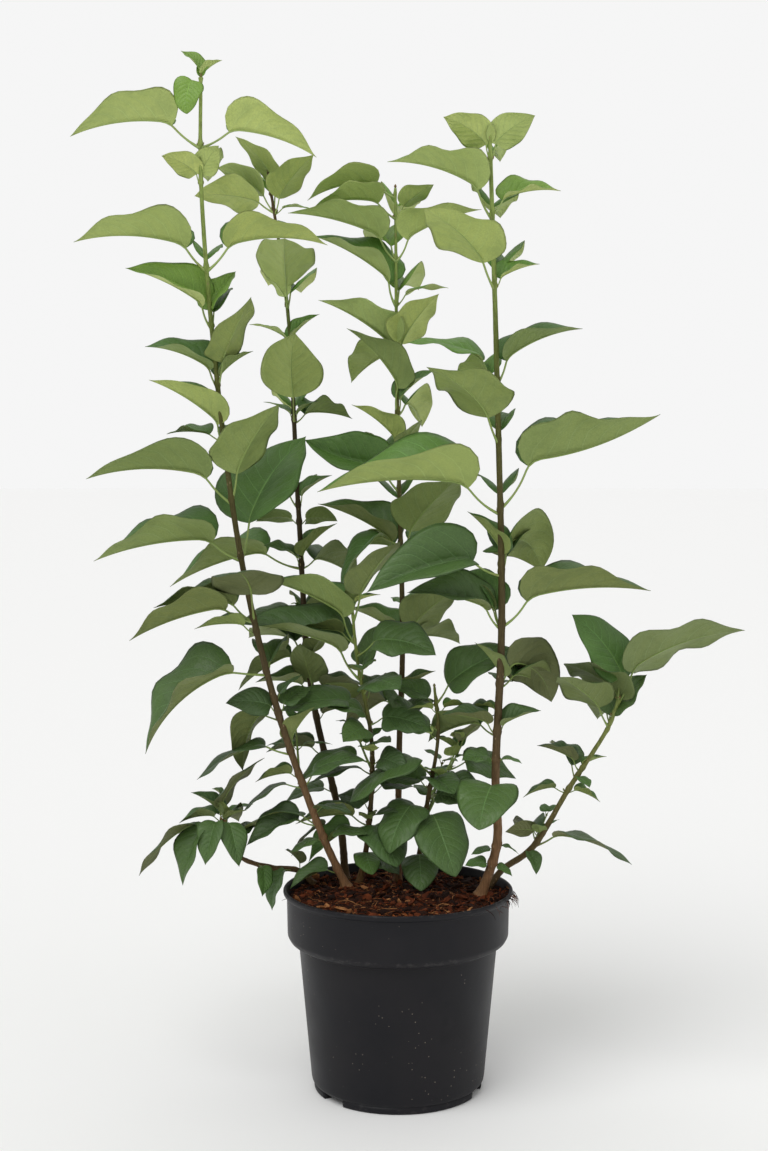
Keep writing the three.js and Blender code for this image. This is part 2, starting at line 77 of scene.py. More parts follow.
# %% The pile
class Pile:
    """Points and faces of many small shapes, waiting to be one mesh. maps names its flat maps, if
    it has any."""

    def __init__(self, *maps):
        self.maps = maps
        self.points = []
        self.count = 0
        self.faces = {4: [], 3: []}
        self.wears = {4: [], 3: []}
        self.places = {4: [], 3: []}

    def add(self, points, faces, wear=0, places=None):
        """Adds points (n, 3) and faces {4: (q, 4), 3: (t, 3)}. wear is the number of the faces'
        material, or one number for each of them. places gives, for each map, the same faces with
        a pair of numbers for each corner."""
        points = np.asarray(points, float).reshape(-1, 3)
        for sides, rows in faces.items():
            if not len(rows):
                continue
            rows = np.asarray(rows, int)
            self.faces[sides].append(rows + self.count)
            self.wears[sides].append(np.full(len(rows), wear))
            given = places[sides] if places else np.zeros((len(self.maps), len(rows), sides, 2))
            self.places[sides].append(given)
        self.points.append(points)
        self.count += len(points)

    def build(self, name, materials, flat=False):
        """The pile as one object, four-cornered faces first. Flat faces are shaded one by one."""
        mesh = bpy.data.meshes.new(name)
        faces, wears, corners = [], [], []
        for sides in (4, 3):
            if self.faces[sides]:
                faces += np.concatenate(self.faces[sides]).tolist()
                wears.append(np.concatenate(self.wears[sides]))
                each = np.concatenate(self.places[sides], axis=1)
                corners.append(each.reshape(len(self.maps), each.shape[1] * sides, 2))
        mesh.from_pydata(np.concatenate(self.points).tolist(), [], faces)
        for material in materials:
            mesh.materials.append(material)
        mesh.polygons.foreach_set("material_index", np.concatenate(wears).astype(np.int32))
        mesh.polygons.foreach_set("use_smooth", np.full(len(faces), not flat))
        for number, title in enumerate(self.maps):
            layer = mesh.uv_layers.new(name=title, do_init=False)
            pairs = np.concatenate([each[number] for each in corners]).astype(np.float32)
            layer.data.foreach_set("uv", pairs.ravel())
        if self.maps:
            mesh.uv_layers[self.maps[0]].active = True
            mesh.uv_layers[self.maps[0]].active_render = True
        mesh.update(calc_edges=True)
        made = bpy.data.objects.new(name, mesh)
        bpy.context.scene.collection.objects.link(made)
        return made


# %% [markdown]
# ## Two kinds of surface
# Nearly everything here is one of two shapes. A tube is a ring carried along a path: stems, leaf
# stalks, twigs and fibres. A turned body is a profile carried round the upright axis: the pot.
# Both are a grid of points over two parameters, so one function numbers the faces of both.


# %% Small sums
def unit(vectors):
    """The same directions, each one long."""
    return vectors / np.maximum(np.linalg.norm(vectors, axis=-1, keepdims=True), 1e-12)


def along_of(path):
    """How far each point of a path lies along it."""
    steps = np.linalg.norm(np.diff(path, axis=0), axis=1)
    return np.concatenate([[0], np.cumsum(steps)])


def full_turn(count):
    """So many angles, evenly spaced round a full turn."""
    return 2 * np.pi * np.arange(count) / count


def polar(far, turn, height):
    """The place at a distance and direction from the upright axis: (r cos a, r sin a, height)."""
    return np.array([far * math.cos(turn), far * math.sin(turn), height])


def smooth(t):
    """A soft step: 3t^2 - 2t^3 between 0 and 1, and level outside them."""
    t = np.clip(t, 0, 1)
    return t * t * (3 - 2 * t)


def walked(start, heading, slope, step):
    """A path of equal steps, each in the direction of its own heading and slope, in radians."""
    level = np.cos(slope)
    moves = np.stack([np.cos(heading) * level, np.sin(heading) * level, np.sin(slope)], -1)
    return start + np.concatenate([[[0, 0, 0]], np.cumsum(moves[1:] * step, axis=0)])


LUMP_NET = 64


def lumps(x, y, cell, seed):
    """Smooth random heights from -1 to 1: a random number at each corner of a square net of the
    given cell, blended between corners by 3t^2 - 2t^3."""
    table = np.random.default_rng(seed).uniform(-1, 1, (LUMP_NET, LUMP_NET))
    across, up = x / cell, y / cell
    column, row = np.floor(across).astype(int), np.floor(up).astype(int)
    a, b = smooth(across - column), smooth(up - row)

    def at(i, j):
        return table[(row + j) % LUMP_NET, (column + i) % LUMP_NET]

    return (at(0, 0) * (1 - a) + at(1, 0) * a) * (1 - b) + (at(0, 1) * (1 - a) + at(1, 1) * a) * b


print("half way up a soft step:", float(smooth(0.5)))


# %% Grids, tubes and turned bodies
def grid_faces(rows, columns, wrap):
    """The four-cornered faces of a grid whose points are numbered row by row. With wrap the last
    column joins the first."""
    across = columns if wrap else columns - 1
    row, column = np.meshgrid(np.arange(rows - 1), np.arange(across), indexing="ij")
    beside = (column + 1) % columns
    low, high = row * columns, (row + 1) * columns
    return np.stack([low + column, low + beside, high + beside, high + column], -1).reshape(-1, 4)


def fan(middle, first, corners, forward=True):
    """Three-cornered faces from a middle point to the edges of a ring, whose points are numbered
    from first. Forward ones go round in the order of the numbers."""
    ring = np.arange(corners)
    edge = [first + ring, first + (ring + 1) % corners]
    return np.stack([np.full(corners, middle), *(edge if forward else edge[::-1])], -1)


def closed(wall, poles):
    """Points and faces of a wall, given as rings (rings, sides, 3), with a fan round a pole at
    each end."""
    rings, sides = wall.shape[:2]
    count = rings * sides
    fans = [fan(count, 0, sides, forward=False), fan(count + 1, count - sides, sides)]
    faces = {4: grid_faces(rings, sides, True), 3: np.concatenate(fans)}
    return np.concatenate([wall.reshape(-1, 3), poles]), faces


def tube(path, radii, sides, reference=(0, 1, 0)):
    """A closed tube. Ring k stands square to the path at point k: centre + radius * (cos a * side
    + sin a * beyond), where side is square to the reference and the path. radii is (rings,) or
    (rings, sides). Both ends close with a cap that bulges by half a radius."""
    path = np.asarray(path, float)
    rings = len(path)
    ahead = unit(np.gradient(path, axis=0))
    side = unit(np.cross(np.asarray(reference, float), ahead))
    beyond = np.cross(ahead, side)
    turn = full_turn(sides)
    spread = np.broadcast_to(np.asarray(radii, float).reshape(rings, -1), (rings, sides))[..., None]
    wall = path[:, None] + spread * (np.cos(turn)[None, :, None] * side[:, None]
                                     + np.sin(turn)[None, :, None] * beyond[:, None])
    bulges = [ahead[end] * spread[end].mean() * 0.5 for end in (0, -1)]
    return closed(wall, [path[0] - bulges[0], path[-1] + bulges[1]])


def turned(profile, angles):
    """A profile of (radius, height) pairs carried round the upright axis through the angles:
    x = r cos a, y = r sin a."""
    profile = np.asarray(profile, float)
    heights = np.broadcast_to(profile[:, 1:], (len(profile), len(angles)))
    return np.stack([profile[:, :1] * np.cos(angles), profile[:, :1] * np.sin(angles), heights], -1)


def rounded(corners, radius, steps=5):
    """A profile through the corners, with each inner corner replaced by a short curve: from a
    point before the corner to one after it, bending by (1-t)^2 a + 2t(1-t) corner + t^2 b."""
    corners = np.asarray(corners, float)
    out = [corners[0]]
    for before, corner, after in zip(corners[:-2], corners[1:-1], corners[2:]):
        shorter = min(np.linalg.norm(before - corner), np.linalg.norm(after - corner))
        reach = min(radius, 0.45 * shorter)
        start = corner + reach * unit(before - corner)
        stop = corner + reach * unit(after - corner)
        t = np.linspace(0, 1, steps)[:, None]
        out += list((1 - t) ** 2 * start + 2 * t * (1 - t) * corner + t ** 2 * stop)
    out.append(corners[-1])
    return np.array(out)


sample = tube([(0, 0, 0), (0, 0, 1), (0, 0, 2)], [1, 1, 1], 6)[1]
print("a tube of 3 rings has", sum(len(rows) for rows in sample.values()), "faces")

# %% [markdown]
# ## Wiring materials
# A material is a small program of nodes. These helpers add a node, set its inputs by name and
# link what is a socket, so that each finish below reads as one short recipe.


# %% Node helpers
def feed(tree, value, socket):
    """Links a socket to a socket, or sets it to a plain value."""
    if isinstance(value, bpy.types.NodeSocket):
        tree.links.new(value, socket)
    else:
        socket.default_value = value


def add_node(tree, kind, inputs=None, **settings):
    """A new node, set up and with its inputs fed by name or by number."""
    made = tree.nodes.new(kind)
    for key, value in settings.items():
        setattr(made, key, value)
    for key, value in (inputs or {}).items():
        feed(tree, value, made.inputs[key])
    return made


def maths(tree, operation, *values):
    """One sum: the operation on its values, or on what its sockets bring."""
    return add_node(tree, "ShaderNodeMath", dict(enumerate(values)), operation=operation).outputs[0]


def times(tree, one, other):
    """one * other."""
    return maths(tree, "MULTIPLY", one, other)


def blended(tree, share, one, other):
    """one where share is 0, other where it is 1."""
    made = add_node(tree, "ShaderNodeMix", {"Factor": share, 6: one, 7: other}, data_type="RGBA")
    return made.outputs[2]


def layered(tree, colour, *layers):
    """A colour with others laid over it in turn. A layer is (share, colour)."""
    for share, other in layers:
        colour = blended(tree, share, colour, other)
    return colour


def ranged(tree, value, low, high, to_low=0.0, to_high=1.0, soft=True):
    """value taken from the range low..high to the other range, and held at its ends."""
    made = add_node(tree, "ShaderNodeMapRange",
                    {"Value": value, "From Min": low, "From Max": high,
                     "To Min": to_low, "To Max": to_high},
                    interpolation_type="SMOOTHSTEP" if soft else "LINEAR")
    return made.outputs["Result"]


def noise(tree, place, scale, detail=2.0, rough=0.5):
    """Cloudy numbers from 0 to 1, so many clouds to the metre."""
    made = add_node(tree, "ShaderNodeTexNoise",
                    {"Vector": place, "Scale": scale, "Detail": detail, "Roughness": rough})
    return made.outputs["Fac"]


def axes(tree, vector):
    """The X, Y and Z of a vector."""
    return add_node(tree, "ShaderNodeSeparateXYZ", {"Vector": vector}).outputs


def scaled(tree, place, scale, shift=(0, 0, 0)):
    """A place scaled and then shifted, axis by axis. A pattern on a small scale is drawn out."""
    inputs = {"Vector": place, "Scale": scale, "Location": shift}
    return add_node(tree, "ShaderNodeMapping", inputs).outputs[0]


def rgb(red, green, blue):
    """A colour given as it looks on screen, 0 to 255, made linear: ((c + 0.055) / 1.055) ^ 2.4."""
    share = np.array([red, green, blue]) / 255
    linear = np.where(share <= 0.04045, share / 12.92, ((share + 0.055) / 1.055) ** 2.4)
    return (*[float(c) for c in linear], 1.0)


def group(name, inputs, outputs):
    """A new shader node group. inputs is {name: default} and outputs {name: socket kind}."""
    tree = bpy.data.node_groups.new(name, "ShaderNodeTree")
    for key, value in inputs.items():
        size = len(value) if hasattr(value, "__len__") else 1
        kind = {1: "NodeSocketFloat", 3: "NodeSocketVector", 4: "NodeSocketColor"}[size]
        tree.interface.new_socket(key, in_out="INPUT", socket_type=kind).default_value = value
    for key, kind in outputs.items():
        tree.interface.new_socket(key, in_out="OUTPUT", socket_type=kind)
    return tree, tree.nodes.new("NodeGroupInput").outputs, tree.nodes.new("NodeGroupOutput").inputs


def place_group(tree, source, **inputs):
    """The outputs of a group put to use in a tree."""
    return add_node(tree, "ShaderNodeGroup", inputs, node_tree=source).outputs


def new_material(name):
    """A bare material: its node tree, its Principled shader and the sockets of Object place."""
    made = bpy.data.materials.new(name)
    made.use_nodes = True
    tree = made.node_tree
    shader = tree.nodes["Principled BSDF"]
    place = tree.nodes.new("ShaderNodeTexCoord").outputs["Object"]
    return made, tree, shader, place


def surface(tree, shader, colour, roughness, specular=0.5):
    """Feeds the shader its colour, its roughness and how strongly it mirrors."""
    feed(tree, colour, shader.inputs["Base Color"])
    feed(tree, roughness, shader.inputs["Roughness"])
    feed(tree, specular, shader.inputs["Specular IOR Level"])


def raise_relief(tree, shader, height, distance, strength=1.0):
    """Fine relief: height 0 to 1 stands for a distance in metres."""
    bump = add_node(tree, "ShaderNodeBump",
                    {"Height": height, "Distance": distance, "Strength": strength})
    tree.links.new(bump.outputs["Normal"], shader.inputs["Normal"])


COLOUR, VALUE = "NodeSocketColor", "NodeSocketFloat"

# %% [markdown]
# ## Dust and grain, shared finishes
# Grain breaks a plain colour up: a slow noise moves it between two tones and a fine one gives a
# relief. Specks scatters small pale or dark marks, which is how dust sits on a pot and how the
# pores sit on bark. Both are groups, so each material only states how strong it wants them.

# %% Shared node groups
grain_group, given, gives = group(
    "grain",
    {"Place": (0, 0, 0), "Base": (0.5, 0.5, 0.5, 1), "Other": (0.5, 0.5, 0.5, 1),
     "Scale": 20.0, "Fine": 400.0},
    {"Colour": COLOUR, "Slow": VALUE, "Height": VALUE})
tree = grain_group
slow = noise(tree, given["Place"], given["Scale"], 3.0, 0.55)
fine = noise(tree, given["Place"], given["Fine"], 3.0, 0.6)
tone = blended(tree, ranged(tree, slow, 0.35, 0.65), given["Base"], given["Other"])
tree.links.new(tone, gives["Colour"])
tree.links.new(slow, gives["Slow"])
tree.links.new(fine, gives["Height"])

specks_group, given, gives = group(
    "specks", {"Place": (0, 0, 0), "Scale": 200.0, "Size": 0.2, "Share": 0.5}, {"Mask": VALUE})
tree = specks_group
cells = add_node(tree, "ShaderNodeTexVoronoi",
                 {"Vector": given["Place"], "Scale": given["Scale"]}).outputs
lot = add_node(tree, "ShaderNodeSeparateColor", {"Color": cells["Color"]}).outputs[0]
chosen = maths(tree, "LESS_THAN", lot, given["Share"])
dot = maths(tree, "LESS_THAN", cells["Distance"], given["Size"])
tree.links.new(times(tree, chosen, dot), gives["Mask"])
print("groups:", [made.name for made in bpy.data.node_groups])

# %% [markdown]
# ## The pot
# The real pot is blown from thin black plastic: a tapered wall under a deep band with a rounded
# lower edge, a small lip, and a foot ring cut into three so that water can run out. The wall is a
# profile turned round the axis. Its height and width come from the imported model's own box, so it
# can't drift from the part that the simulation uses.

# %% Pot sizes, read from the frame where it has them
pot_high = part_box("pot")[1]
POT_HEIGHT = pot_high.z
LIP_RADIUS = pot_high.x
BAND_RADIUS = LIP_RADIUS - 3.5 * MM
BAND_BOTTOM = 142 * MM
BODY_TOP_RADIUS = 95 * MM
BODY_FOOT_RADIUS = 83 * MM
WALL = 2.4 * MM
FOOT_RADIUS = 80.5 * MM
FOOT_WIDTH = 10 * MM
FOOT_HEIGHT = 9 * MM
PAD_RADIUS = 24 * MM
FLOOR_UNDER = 5 * MM
DRAIN_HOLES, DRAIN_CIRCLE, DRAIN_RADIUS = 8, 47 * MM, 6 * MM
NOTCH_HALF = math.asin(14 * MM / FOOT_RADIUS)
NOTCH_ANGLES = [math.radians(a) for a in (-140, -20, 100)]
SOIL_LEVEL = 186 * MM
POT_SEGMENTS = 192
print("pot", round(2 * LIP_RADIUS, 3), "m across,", round(POT_HEIGHT, 3), "m high")


# %% The turned wall
def pot_wall():
    """The wall's profile, out and back in: up the outside from the recessed floor to the lip, and
    down the inside to the floor. Corners are rounded, from 1.6 mm before each to 1.6 mm after."""
    inset = 0.9 * MM
    outside = [
        (PAD_RADIUS + 2 * MM, FLOOR_UNDER),
        (FOOT_RADIUS - 2 * MM, FLOOR_UNDER),
        (FOOT_RADIUS + 0.4 * MM, FOOT_HEIGHT - 2 * MM),
        (BODY_FOOT_RADIUS - 0.5 * MM, FOOT_HEIGHT),
        (BODY_FOOT_RADIUS + 0.2 * MM, FOOT_HEIGHT + 4 * MM),
        (BODY_TOP_RADIUS, BAND_BOTTOM - 1.5 * MM),
        (BODY_TOP_RADIUS + 2 * MM, BAND_BOTTOM),
        (BAND_RADIUS - 3.5 * MM, BAND_BOTTOM + 2 * MM),
        (BAND_RADIUS - 0.7 * MM, BAND_BOTTOM + 7 * MM),
        (BAND_RADIUS - 0.2 * MM, POT_HEIGHT - 14 * MM),
        (BAND_RADIUS, POT_HEIGHT - 6.5 * MM),
        (LIP_RADIUS - inset, POT_HEIGHT - 5 * MM),
        (LIP_RADIUS, POT_HEIGHT - 3 * MM),
        (LIP_RADIUS - 0.3 * MM, POT_HEIGHT - 0.8 * MM),
        (LIP_RADIUS - 1.6 * MM, POT_HEIGHT),
        (LIP_RADIUS - 3.4 * MM, POT_HEIGHT - 0.6 * MM),
        (BAND_RADIUS - WALL, POT_HEIGHT - 8 * MM),
        (BAND_RADIUS - WALL - 0.8 * MM, BAND_BOTTOM + 7 * MM),
        (BODY_TOP_RADIUS - WALL, BAND_BOTTOM),
        (BODY_FOOT_RADIUS - WALL, FOOT_HEIGHT),
        (PAD_RADIUS + 2 * MM, FOOT_HEIGHT),
    ]
    return rounded(outside, 1.6 * MM)


def add_turned(pile, profile, segments, hollow=True):
    """A turned profile as a closed body. A hollow one goes from its last ring back to its first; a
    full one is closed at both ends by a fan round a point on the axis."""
    rings = turned(profile, full_turn(segments))
    if hollow:
        faces = grid_faces(len(profile) + 1, segments, True) % (len(profile) * segments)
        pile.add(rings, {4: faces})
    else:
        pile.add(*closed(rings, [(0, 0, profile[0][1]), (0, 0, profile[-1][1])]))


def add_swept_block(pile, outline, start, stop, steps):
    """A closed outline of (radius, height) pairs carried round the axis from one angle to another,
    with a flat face at both ends."""
    block = turned(outline, np.linspace(start, stop, steps)).transpose(1, 0, 2)
    points, faces = closed(block, block[[0, -1]].mean(1))
    pile.add(points, {sides: rows[:, ::-1] for sides, rows in faces.items()})


# %% [markdown]
# The foot ring is a block outline carried round the axis three times, from notch to notch: the
# notches let water run out from under the pot. The eight drain holes are cut with upright round
# cutters once the pot is made, as a mould's pins leave them, because a cut edge stays crisp.


# %% Foot ring, pad and drain holes
FOOT_STEPS = 60
DRILL_SIDES = 32


def foot_segments(pile):
    """Three curved blocks, from each notch to the next."""
    outline = rounded([
        (FOOT_RADIUS - FOOT_WIDTH + 1 * MM, FLOOR_UNDER + 2 * MM),
        (FOOT_RADIUS - FOOT_WIDTH + 1.5 * MM, 0.2 * MM),
        (FOOT_RADIUS - FOOT_WIDTH / 2, 0),
        (FOOT_RADIUS - 0.8 * MM, 0.3 * MM),
        (FOOT_RADIUS, 1.2 * MM),
        (FOOT_RADIUS + 0.5 * MM, FOOT_HEIGHT - 0.5 * MM),
    ], 0.8 * MM, 4)
    for first, second in zip(NOTCH_ANGLES, NOTCH_ANGLES[1:] + [NOTCH_ANGLES[0] + 2 * math.pi]):
        add_swept_block(pile, outline, first + NOTCH_HALF, second - NOTCH_HALF, FOOT_STEPS)


def drilled(piece, holes, circle, radius, low, high):
    """Cuts upright round holes, evenly spaced on a circle, through a closed piece."""
    drills = Pile()
    for number in range(holes):
        turn = 2 * math.pi * (number + 0.5) / holes
        axis = [polar(circle, turn, low), polar(circle, turn, high)]
        drills.add(*tube(axis, (radius, radius), DRILL_SIDES, (1, 0, 0)))
    cutter = drills.build("drill", [])
    cut = piece.modifiers.new("drill", "BOOLEAN")
    cut.operation, cut.solver, cut.object = "DIFFERENCE", "EXACT", cutter
    seen = piece.evaluated_get(bpy.context.evaluated_depsgraph_get())
    piece.data, plain = bpy.data.meshes.new_from_object(seen), piece.data
    piece.modifiers.clear()
    piece.data.set_sharp_from_angle(angle=math.radians(35))
    bpy.data.objects.remove(cutter)
    bpy.data.meshes.remove(plain)


wall_pile, foot_pile = Pile(), Pile()
add_turned(wall_pile, pot_wall(), POT_SEGMENTS)
foot_segments(foot_pile)
pad_outline = [(2 * MM, 0), (PAD_RADIUS - 1 * MM, 0), (PAD_RADIUS, 0.8 * MM),
               (PAD_RADIUS + 2.4 * MM, FLOOR_UNDER + 0.6 * MM), (2 * MM, FLOOR_UNDER + 0.6 * MM)]
add_turned(foot_pile, rounded(pad_outline, 0.8 * MM), POT_SEGMENTS // 2, hollow=False)
print("pot points:", wall_pile.count + foot_pile.count)

# %% [markdown]
# The plastic is near black with a soft sheen. Handling has left fine scuffs, watering has left
# pale specks, and there is a darker wipe mark low on the right of the wall. The band's lower
# edge and the lip are painted paler as a highlight, where light catches them, and the foot is
# scraped paler; a mask on height gives all three.

# %% Pot plastic
pot_plastic, tree, shader, place = new_material("pot_plastic")
tone = place_group(tree, grain_group, Place=place, Base=rgb(23, 23, 27), Other=rgb(29, 28, 31),
                   Scale=14.0, Fine=900.0)
where = axes(tree, place)
# Painted highlight: the band's lower edge and the lip are made paler as if light caught them, and
# the foot is scraped paler. A noise breaks all three up.
from_edge = maths(tree, "ABSOLUTE", maths(tree, "SUBTRACT", where["Z"], BAND_BOTTOM + 4 * MM))
band_edge_highlight = ranged(tree, from_edge, 1.5 * MM, 5 * MM, 1.0, 0.0)
lip_highlight = ranged(tree, where["Z"], POT_HEIGHT - 3 * MM, POT_HEIGHT - 0.5 * MM)
edge_foot = ranged(tree, where["Z"], 0.0, 12 * MM, 1.0, 0.0)
edges = maths(tree, "MAXIMUM", maths(tree, "MAXIMUM", band_edge_highlight, lip_highlight), edge_foot)
highlight_and_scrape = times(tree, edges, ranged(tree, noise(tree, place, 160.0, 4.0, 0.7), 0.5, 0.68))
dust = place_group(tree, specks_group, Place=place, Scale=330.0, Size=0.2, Share=0.10)["Mask"]
dust = times(tree, dust, ranged(tree, noise(tree, place, 18.0), 0.45, 0.65))
# The mark's middle is where this is 0: 56 mm to the right and 85 mm up, on the front only.
wipe = scaled(tree, place, (17, 0, 12), (-0.95, 0.0, -1.02))
wipe = add_node(tree, "ShaderNodeVectorMath", {0: wipe}, operation="LENGTH").outputs["Value"]
wipe = maths(tree, "ADD", wipe, times(tree, noise(tree, place, 90.0, 3.0), 0.9))
in_front = maths(tree, "LESS_THAN", where["Y"], 0.0)
wipe = times(tree, ranged(tree, wipe, 0.55, 0.8, 1.0, 0.0), in_front)
colour = layered(tree, tone["Colour"],
                 # This pale grey is the painted highlight on the band's edge and lip, with the
                 # scraped foot.
                 (times(tree, highlight_and_scrape, 0.6), rgb(62, 60, 60)),
                 (times(tree, dust, 0.6), rgb(128, 118, 106)),
                 (times(tree, wipe, 0.55), rgb(22, 22, 25)))
surface(tree, shader, colour, ranged(tree, tone["Slow"], 0.3, 0.7, 0.40, 0.52), 0.18)
waves = times(tree, noise(tree, place, 45.0, 2.0), 0.9)
relief = maths(tree, "ADD", times(tree, tone["Height"], 0.25), waves)
raise_relief(tree, shader, relief, 0.35 * MM, 0.55)
pot = wall_pile.build("pot_shell", [pot_plastic])
drilled(pot, DRAIN_HOLES, DRAIN_CIRCLE, DRAIN_RADIUS, FLOOR_UNDER - 3 * MM, FOOT_HEIGHT + 3 * MM)
foot = foot_pile.build("pot_foot", [pot_plastic])
for piece in (pot, foot):
    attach(piece, "root")
    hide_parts("pot")
print("pot faces:", len(pot.data.polygons), len(foot.data.polygons))

# %% [markdown]
# ## The potting mix
# The mix is coir: reddish-brown chips and fibres, darker where it is damp, with a patch of finer,
# paler crumbs at the front. A soft mound of random bumps is the ground. The chips and fibres are
# separate small meshes scattered on it, because at this size they are what the eye reads.


# %% The ground of the mix
# How far the ground reaches from the axis, in millimetres: just short of the wall.
GROUND_EDGE = 103.2
GROUND_RINGS, GROUND_SIDES = 84, 200


def soil_height(x, y):
    """Height of the mix at a place: its level, less a droop to the wall, plus bumps of four sizes,
    each half to two thirds as high as the one before."""
    distance = np.hypot(x, y)
    droop = 2.2 * MM * np.clip((distance - 80 * MM) / (24 * MM), 0, 1) ** 2
    bumps = sum(size * lumps(x + shift, y - shift, cell, seed) for size, cell, shift, seed in (
        (1.7 * MM, 34 * MM, 0.40, 1), (1.1 * MM, 15 * MM, 0.21, 2), (0.7 * MM, 6 * MM, 0.13, 3),
        (0.35 * MM, 2.6 * MM, 0.07, 4)))
    return SOIL_LEVEL - droop + bumps


def on_soil(x, y, lift):
    """The place on the mix at x and y, lifted a little."""
    return np.array([x, y, soil_height(x, y) + lift])


def add_ground(pile):
    """Rings of growing radius, each point lifted to the mix's height, with a fan in the middle.
    The last ring turns down the inside of the pot."""
    radii = [*np.linspace(0.5, GROUND_EDGE, GROUND_RINGS), GROUND_EDGE + 0.4, GROUND_EDGE]
    radii = np.array(radii)[:, None] * MM
    turn = full_turn(GROUND_SIDES)
    x, y = radii * np.cos(turn), radii * np.sin(turn)
    z = soil_height(x, y)
    z[-1] -= 14 * MM
    pile.add(np.concatenate([np.stack([x, y, z], -1).reshape(-1, 3), [on_soil(0.0, 0.0, 0.0)]]),
             {4: grid_faces(*x.shape, True)[:, ::-1], 3: fan(x.size, 0, GROUND_SIDES)})


soil_pile = Pile()
add_ground(soil_pile)
print("ground points:", soil_pile.count)


# %% [markdown]
# A chip starts as a ball of 26 points, the corners, edge middles and face middles of a cube. Each
# point is pushed in or out at random and the whole is flattened, which gives a split, angular
# crumb. A fibre is a thin tube whose path wanders: its heading turns at random as it goes.


# %% Chips and fibres
def cube_ball():
    """Points and faces of a cube with three points along each edge."""
    steps = np.array([-1, 0, 1.0])
    points, faces = [], []
    for axis in range(3):
        for sign in (-1, 1):
            a, b = np.meshgrid(steps, steps, indexing="ij")
            side = np.zeros((3, 3, 3))
            side[..., axis] = sign
            side[..., (axis + 1) % 3] = a * sign
            side[..., (axis + 2) % 3] = b
            faces.append(grid_faces(3, 3, False) + 9 * len(points))
            points.append(side.reshape(-1, 3))
    points = np.concatenate(points)
    same, index = np.unique(points, axis=0, return_inverse=True)
    return same, index.reshape(-1)[np.concatenate(faces)]


BALL_POINTS, BALL_FACES = cube_ball()


def turned_by(vectors, angles):
    """Vectors turned by three angles, about X, then Y, then Z."""
    (cx, cy, cz), (sx, sy, sz) = np.cos(angles), np.sin(angles)
    about = (np.array([[cz, -sz, 0], [sz, cz, 0], [0, 0, 1]])
             @ np.array([[cy, 0, sy], [0, 1, 0], [-sy, 0, cy]])
             @ np.array([[1, 0, 0], [0, cx, -sx], [0, sx, cx]]))
    return vectors @ about.T


def add_chip(pile, rng, at, size, wear, tilt=0.5):
    """A crumb: the cube ball with each point moved by up to a quarter, scaled to a long, wide and
    flat size, and turned."""
    shape = unit(BALL_POINTS) * (1 + rng.uniform(-0.25, 0.25, (len(BALL_POINTS), 1)))
    shape = shape * np.array([size, size * rng.uniform(0.35, 0.8), size * rng.uniform(0.18, 0.4)])
    angles = np.array([rng.normal(0, tilt), rng.normal(0, tilt), rng.uniform(0, 2 * math.pi)])
    pile.add(turned_by(shape, angles) + at, {4: BALL_FACES}, wear)


FIBRE_RINGS, FIBRE_SIDES = 9, 4


def add_fibre(pile, rng, at, heading, length, radius, wear, rise, droop):
    """A wandering tube. At each step the heading turns by a random amount, and the slope goes from
    rise to rise - droop along its length."""
    share = np.linspace(0, 1, FIBRE_RINGS)
    turns = heading + np.cumsum(rng.normal(0, 0.22, FIBRE_RINGS))
    path = walked(at, turns, rise - droop * share, length / (FIBRE_RINGS - 1))
    pile.add(*tube(path, radius * (1 - 0.6 * share ** 2), FIBRE_SIDES, (0.1, 0.2, 1)), wear)


# %% Scatter the mix
CHIPS, CRUMBS, FIBRES = 1500, 900, 1500
DAMP, RED, TAN, CRUMB = 0, 1, 2, 3


def spot(rng, reach):
    """A random place, spread evenly over a disc, and its direction. It lies reach * sqrt(u) from
    the axis, where u is a random share."""
    far, turn = reach * math.sqrt(rng.uniform()), rng.uniform(0, 2 * math.pi)
    return far * math.cos(turn), far * math.sin(turn), turn


rng = np.random.default_rng(11)
chip_pile, fibre_pile = Pile(), Pile()
for _ in range(CHIPS):
    x, y, turn = spot(rng, 101 * MM)
    size = rng.choice([1.4, 2.4, 4.2, 6.5], p=[0.46, 0.34, 0.15, 0.05]) * MM
    add_chip(chip_pile, rng, on_soil(x, y, 0.2 * size), size,
             rng.choice([DAMP, RED, TAN], p=[0.52, 0.42, 0.06]))
for _ in range(CRUMBS):
    x, y = rng.normal(22, 17) * MM, rng.normal(-88, 7) * MM
    if math.hypot(x, y) < 102 * MM:
        add_chip(chip_pile, rng, on_soil(x, y, 0.3 * MM), rng.uniform(0.6, 1.3) * MM,
                 rng.choice([CRUMB, RED], p=[0.75, 0.25]), 1.0)
for _ in range(FIBRES):
    x, y, turn = spot(rng, 98 * MM)
    heading = turn + math.pi / 2 * rng.choice([-1, 1]) + rng.normal(0, 0.9)
    add_fibre(fibre_pile, rng, on_soil(x, y, 0.4 * MM), heading,
              rng.uniform(6, 20) * MM, rng.uniform(0.16, 0.42) * MM,
              rng.choice([DAMP, RED, TAN], p=[0.4, 0.42, 0.18]), rng.uniform(0.05, 0.55), 0.8)
print("chips and fibres:", chip_pile.count, fibre_pile.count, "points")

# %% [markdown]
# On the right the mix has pushed over the lip: a tuft of dark roots and fibres hangs there.

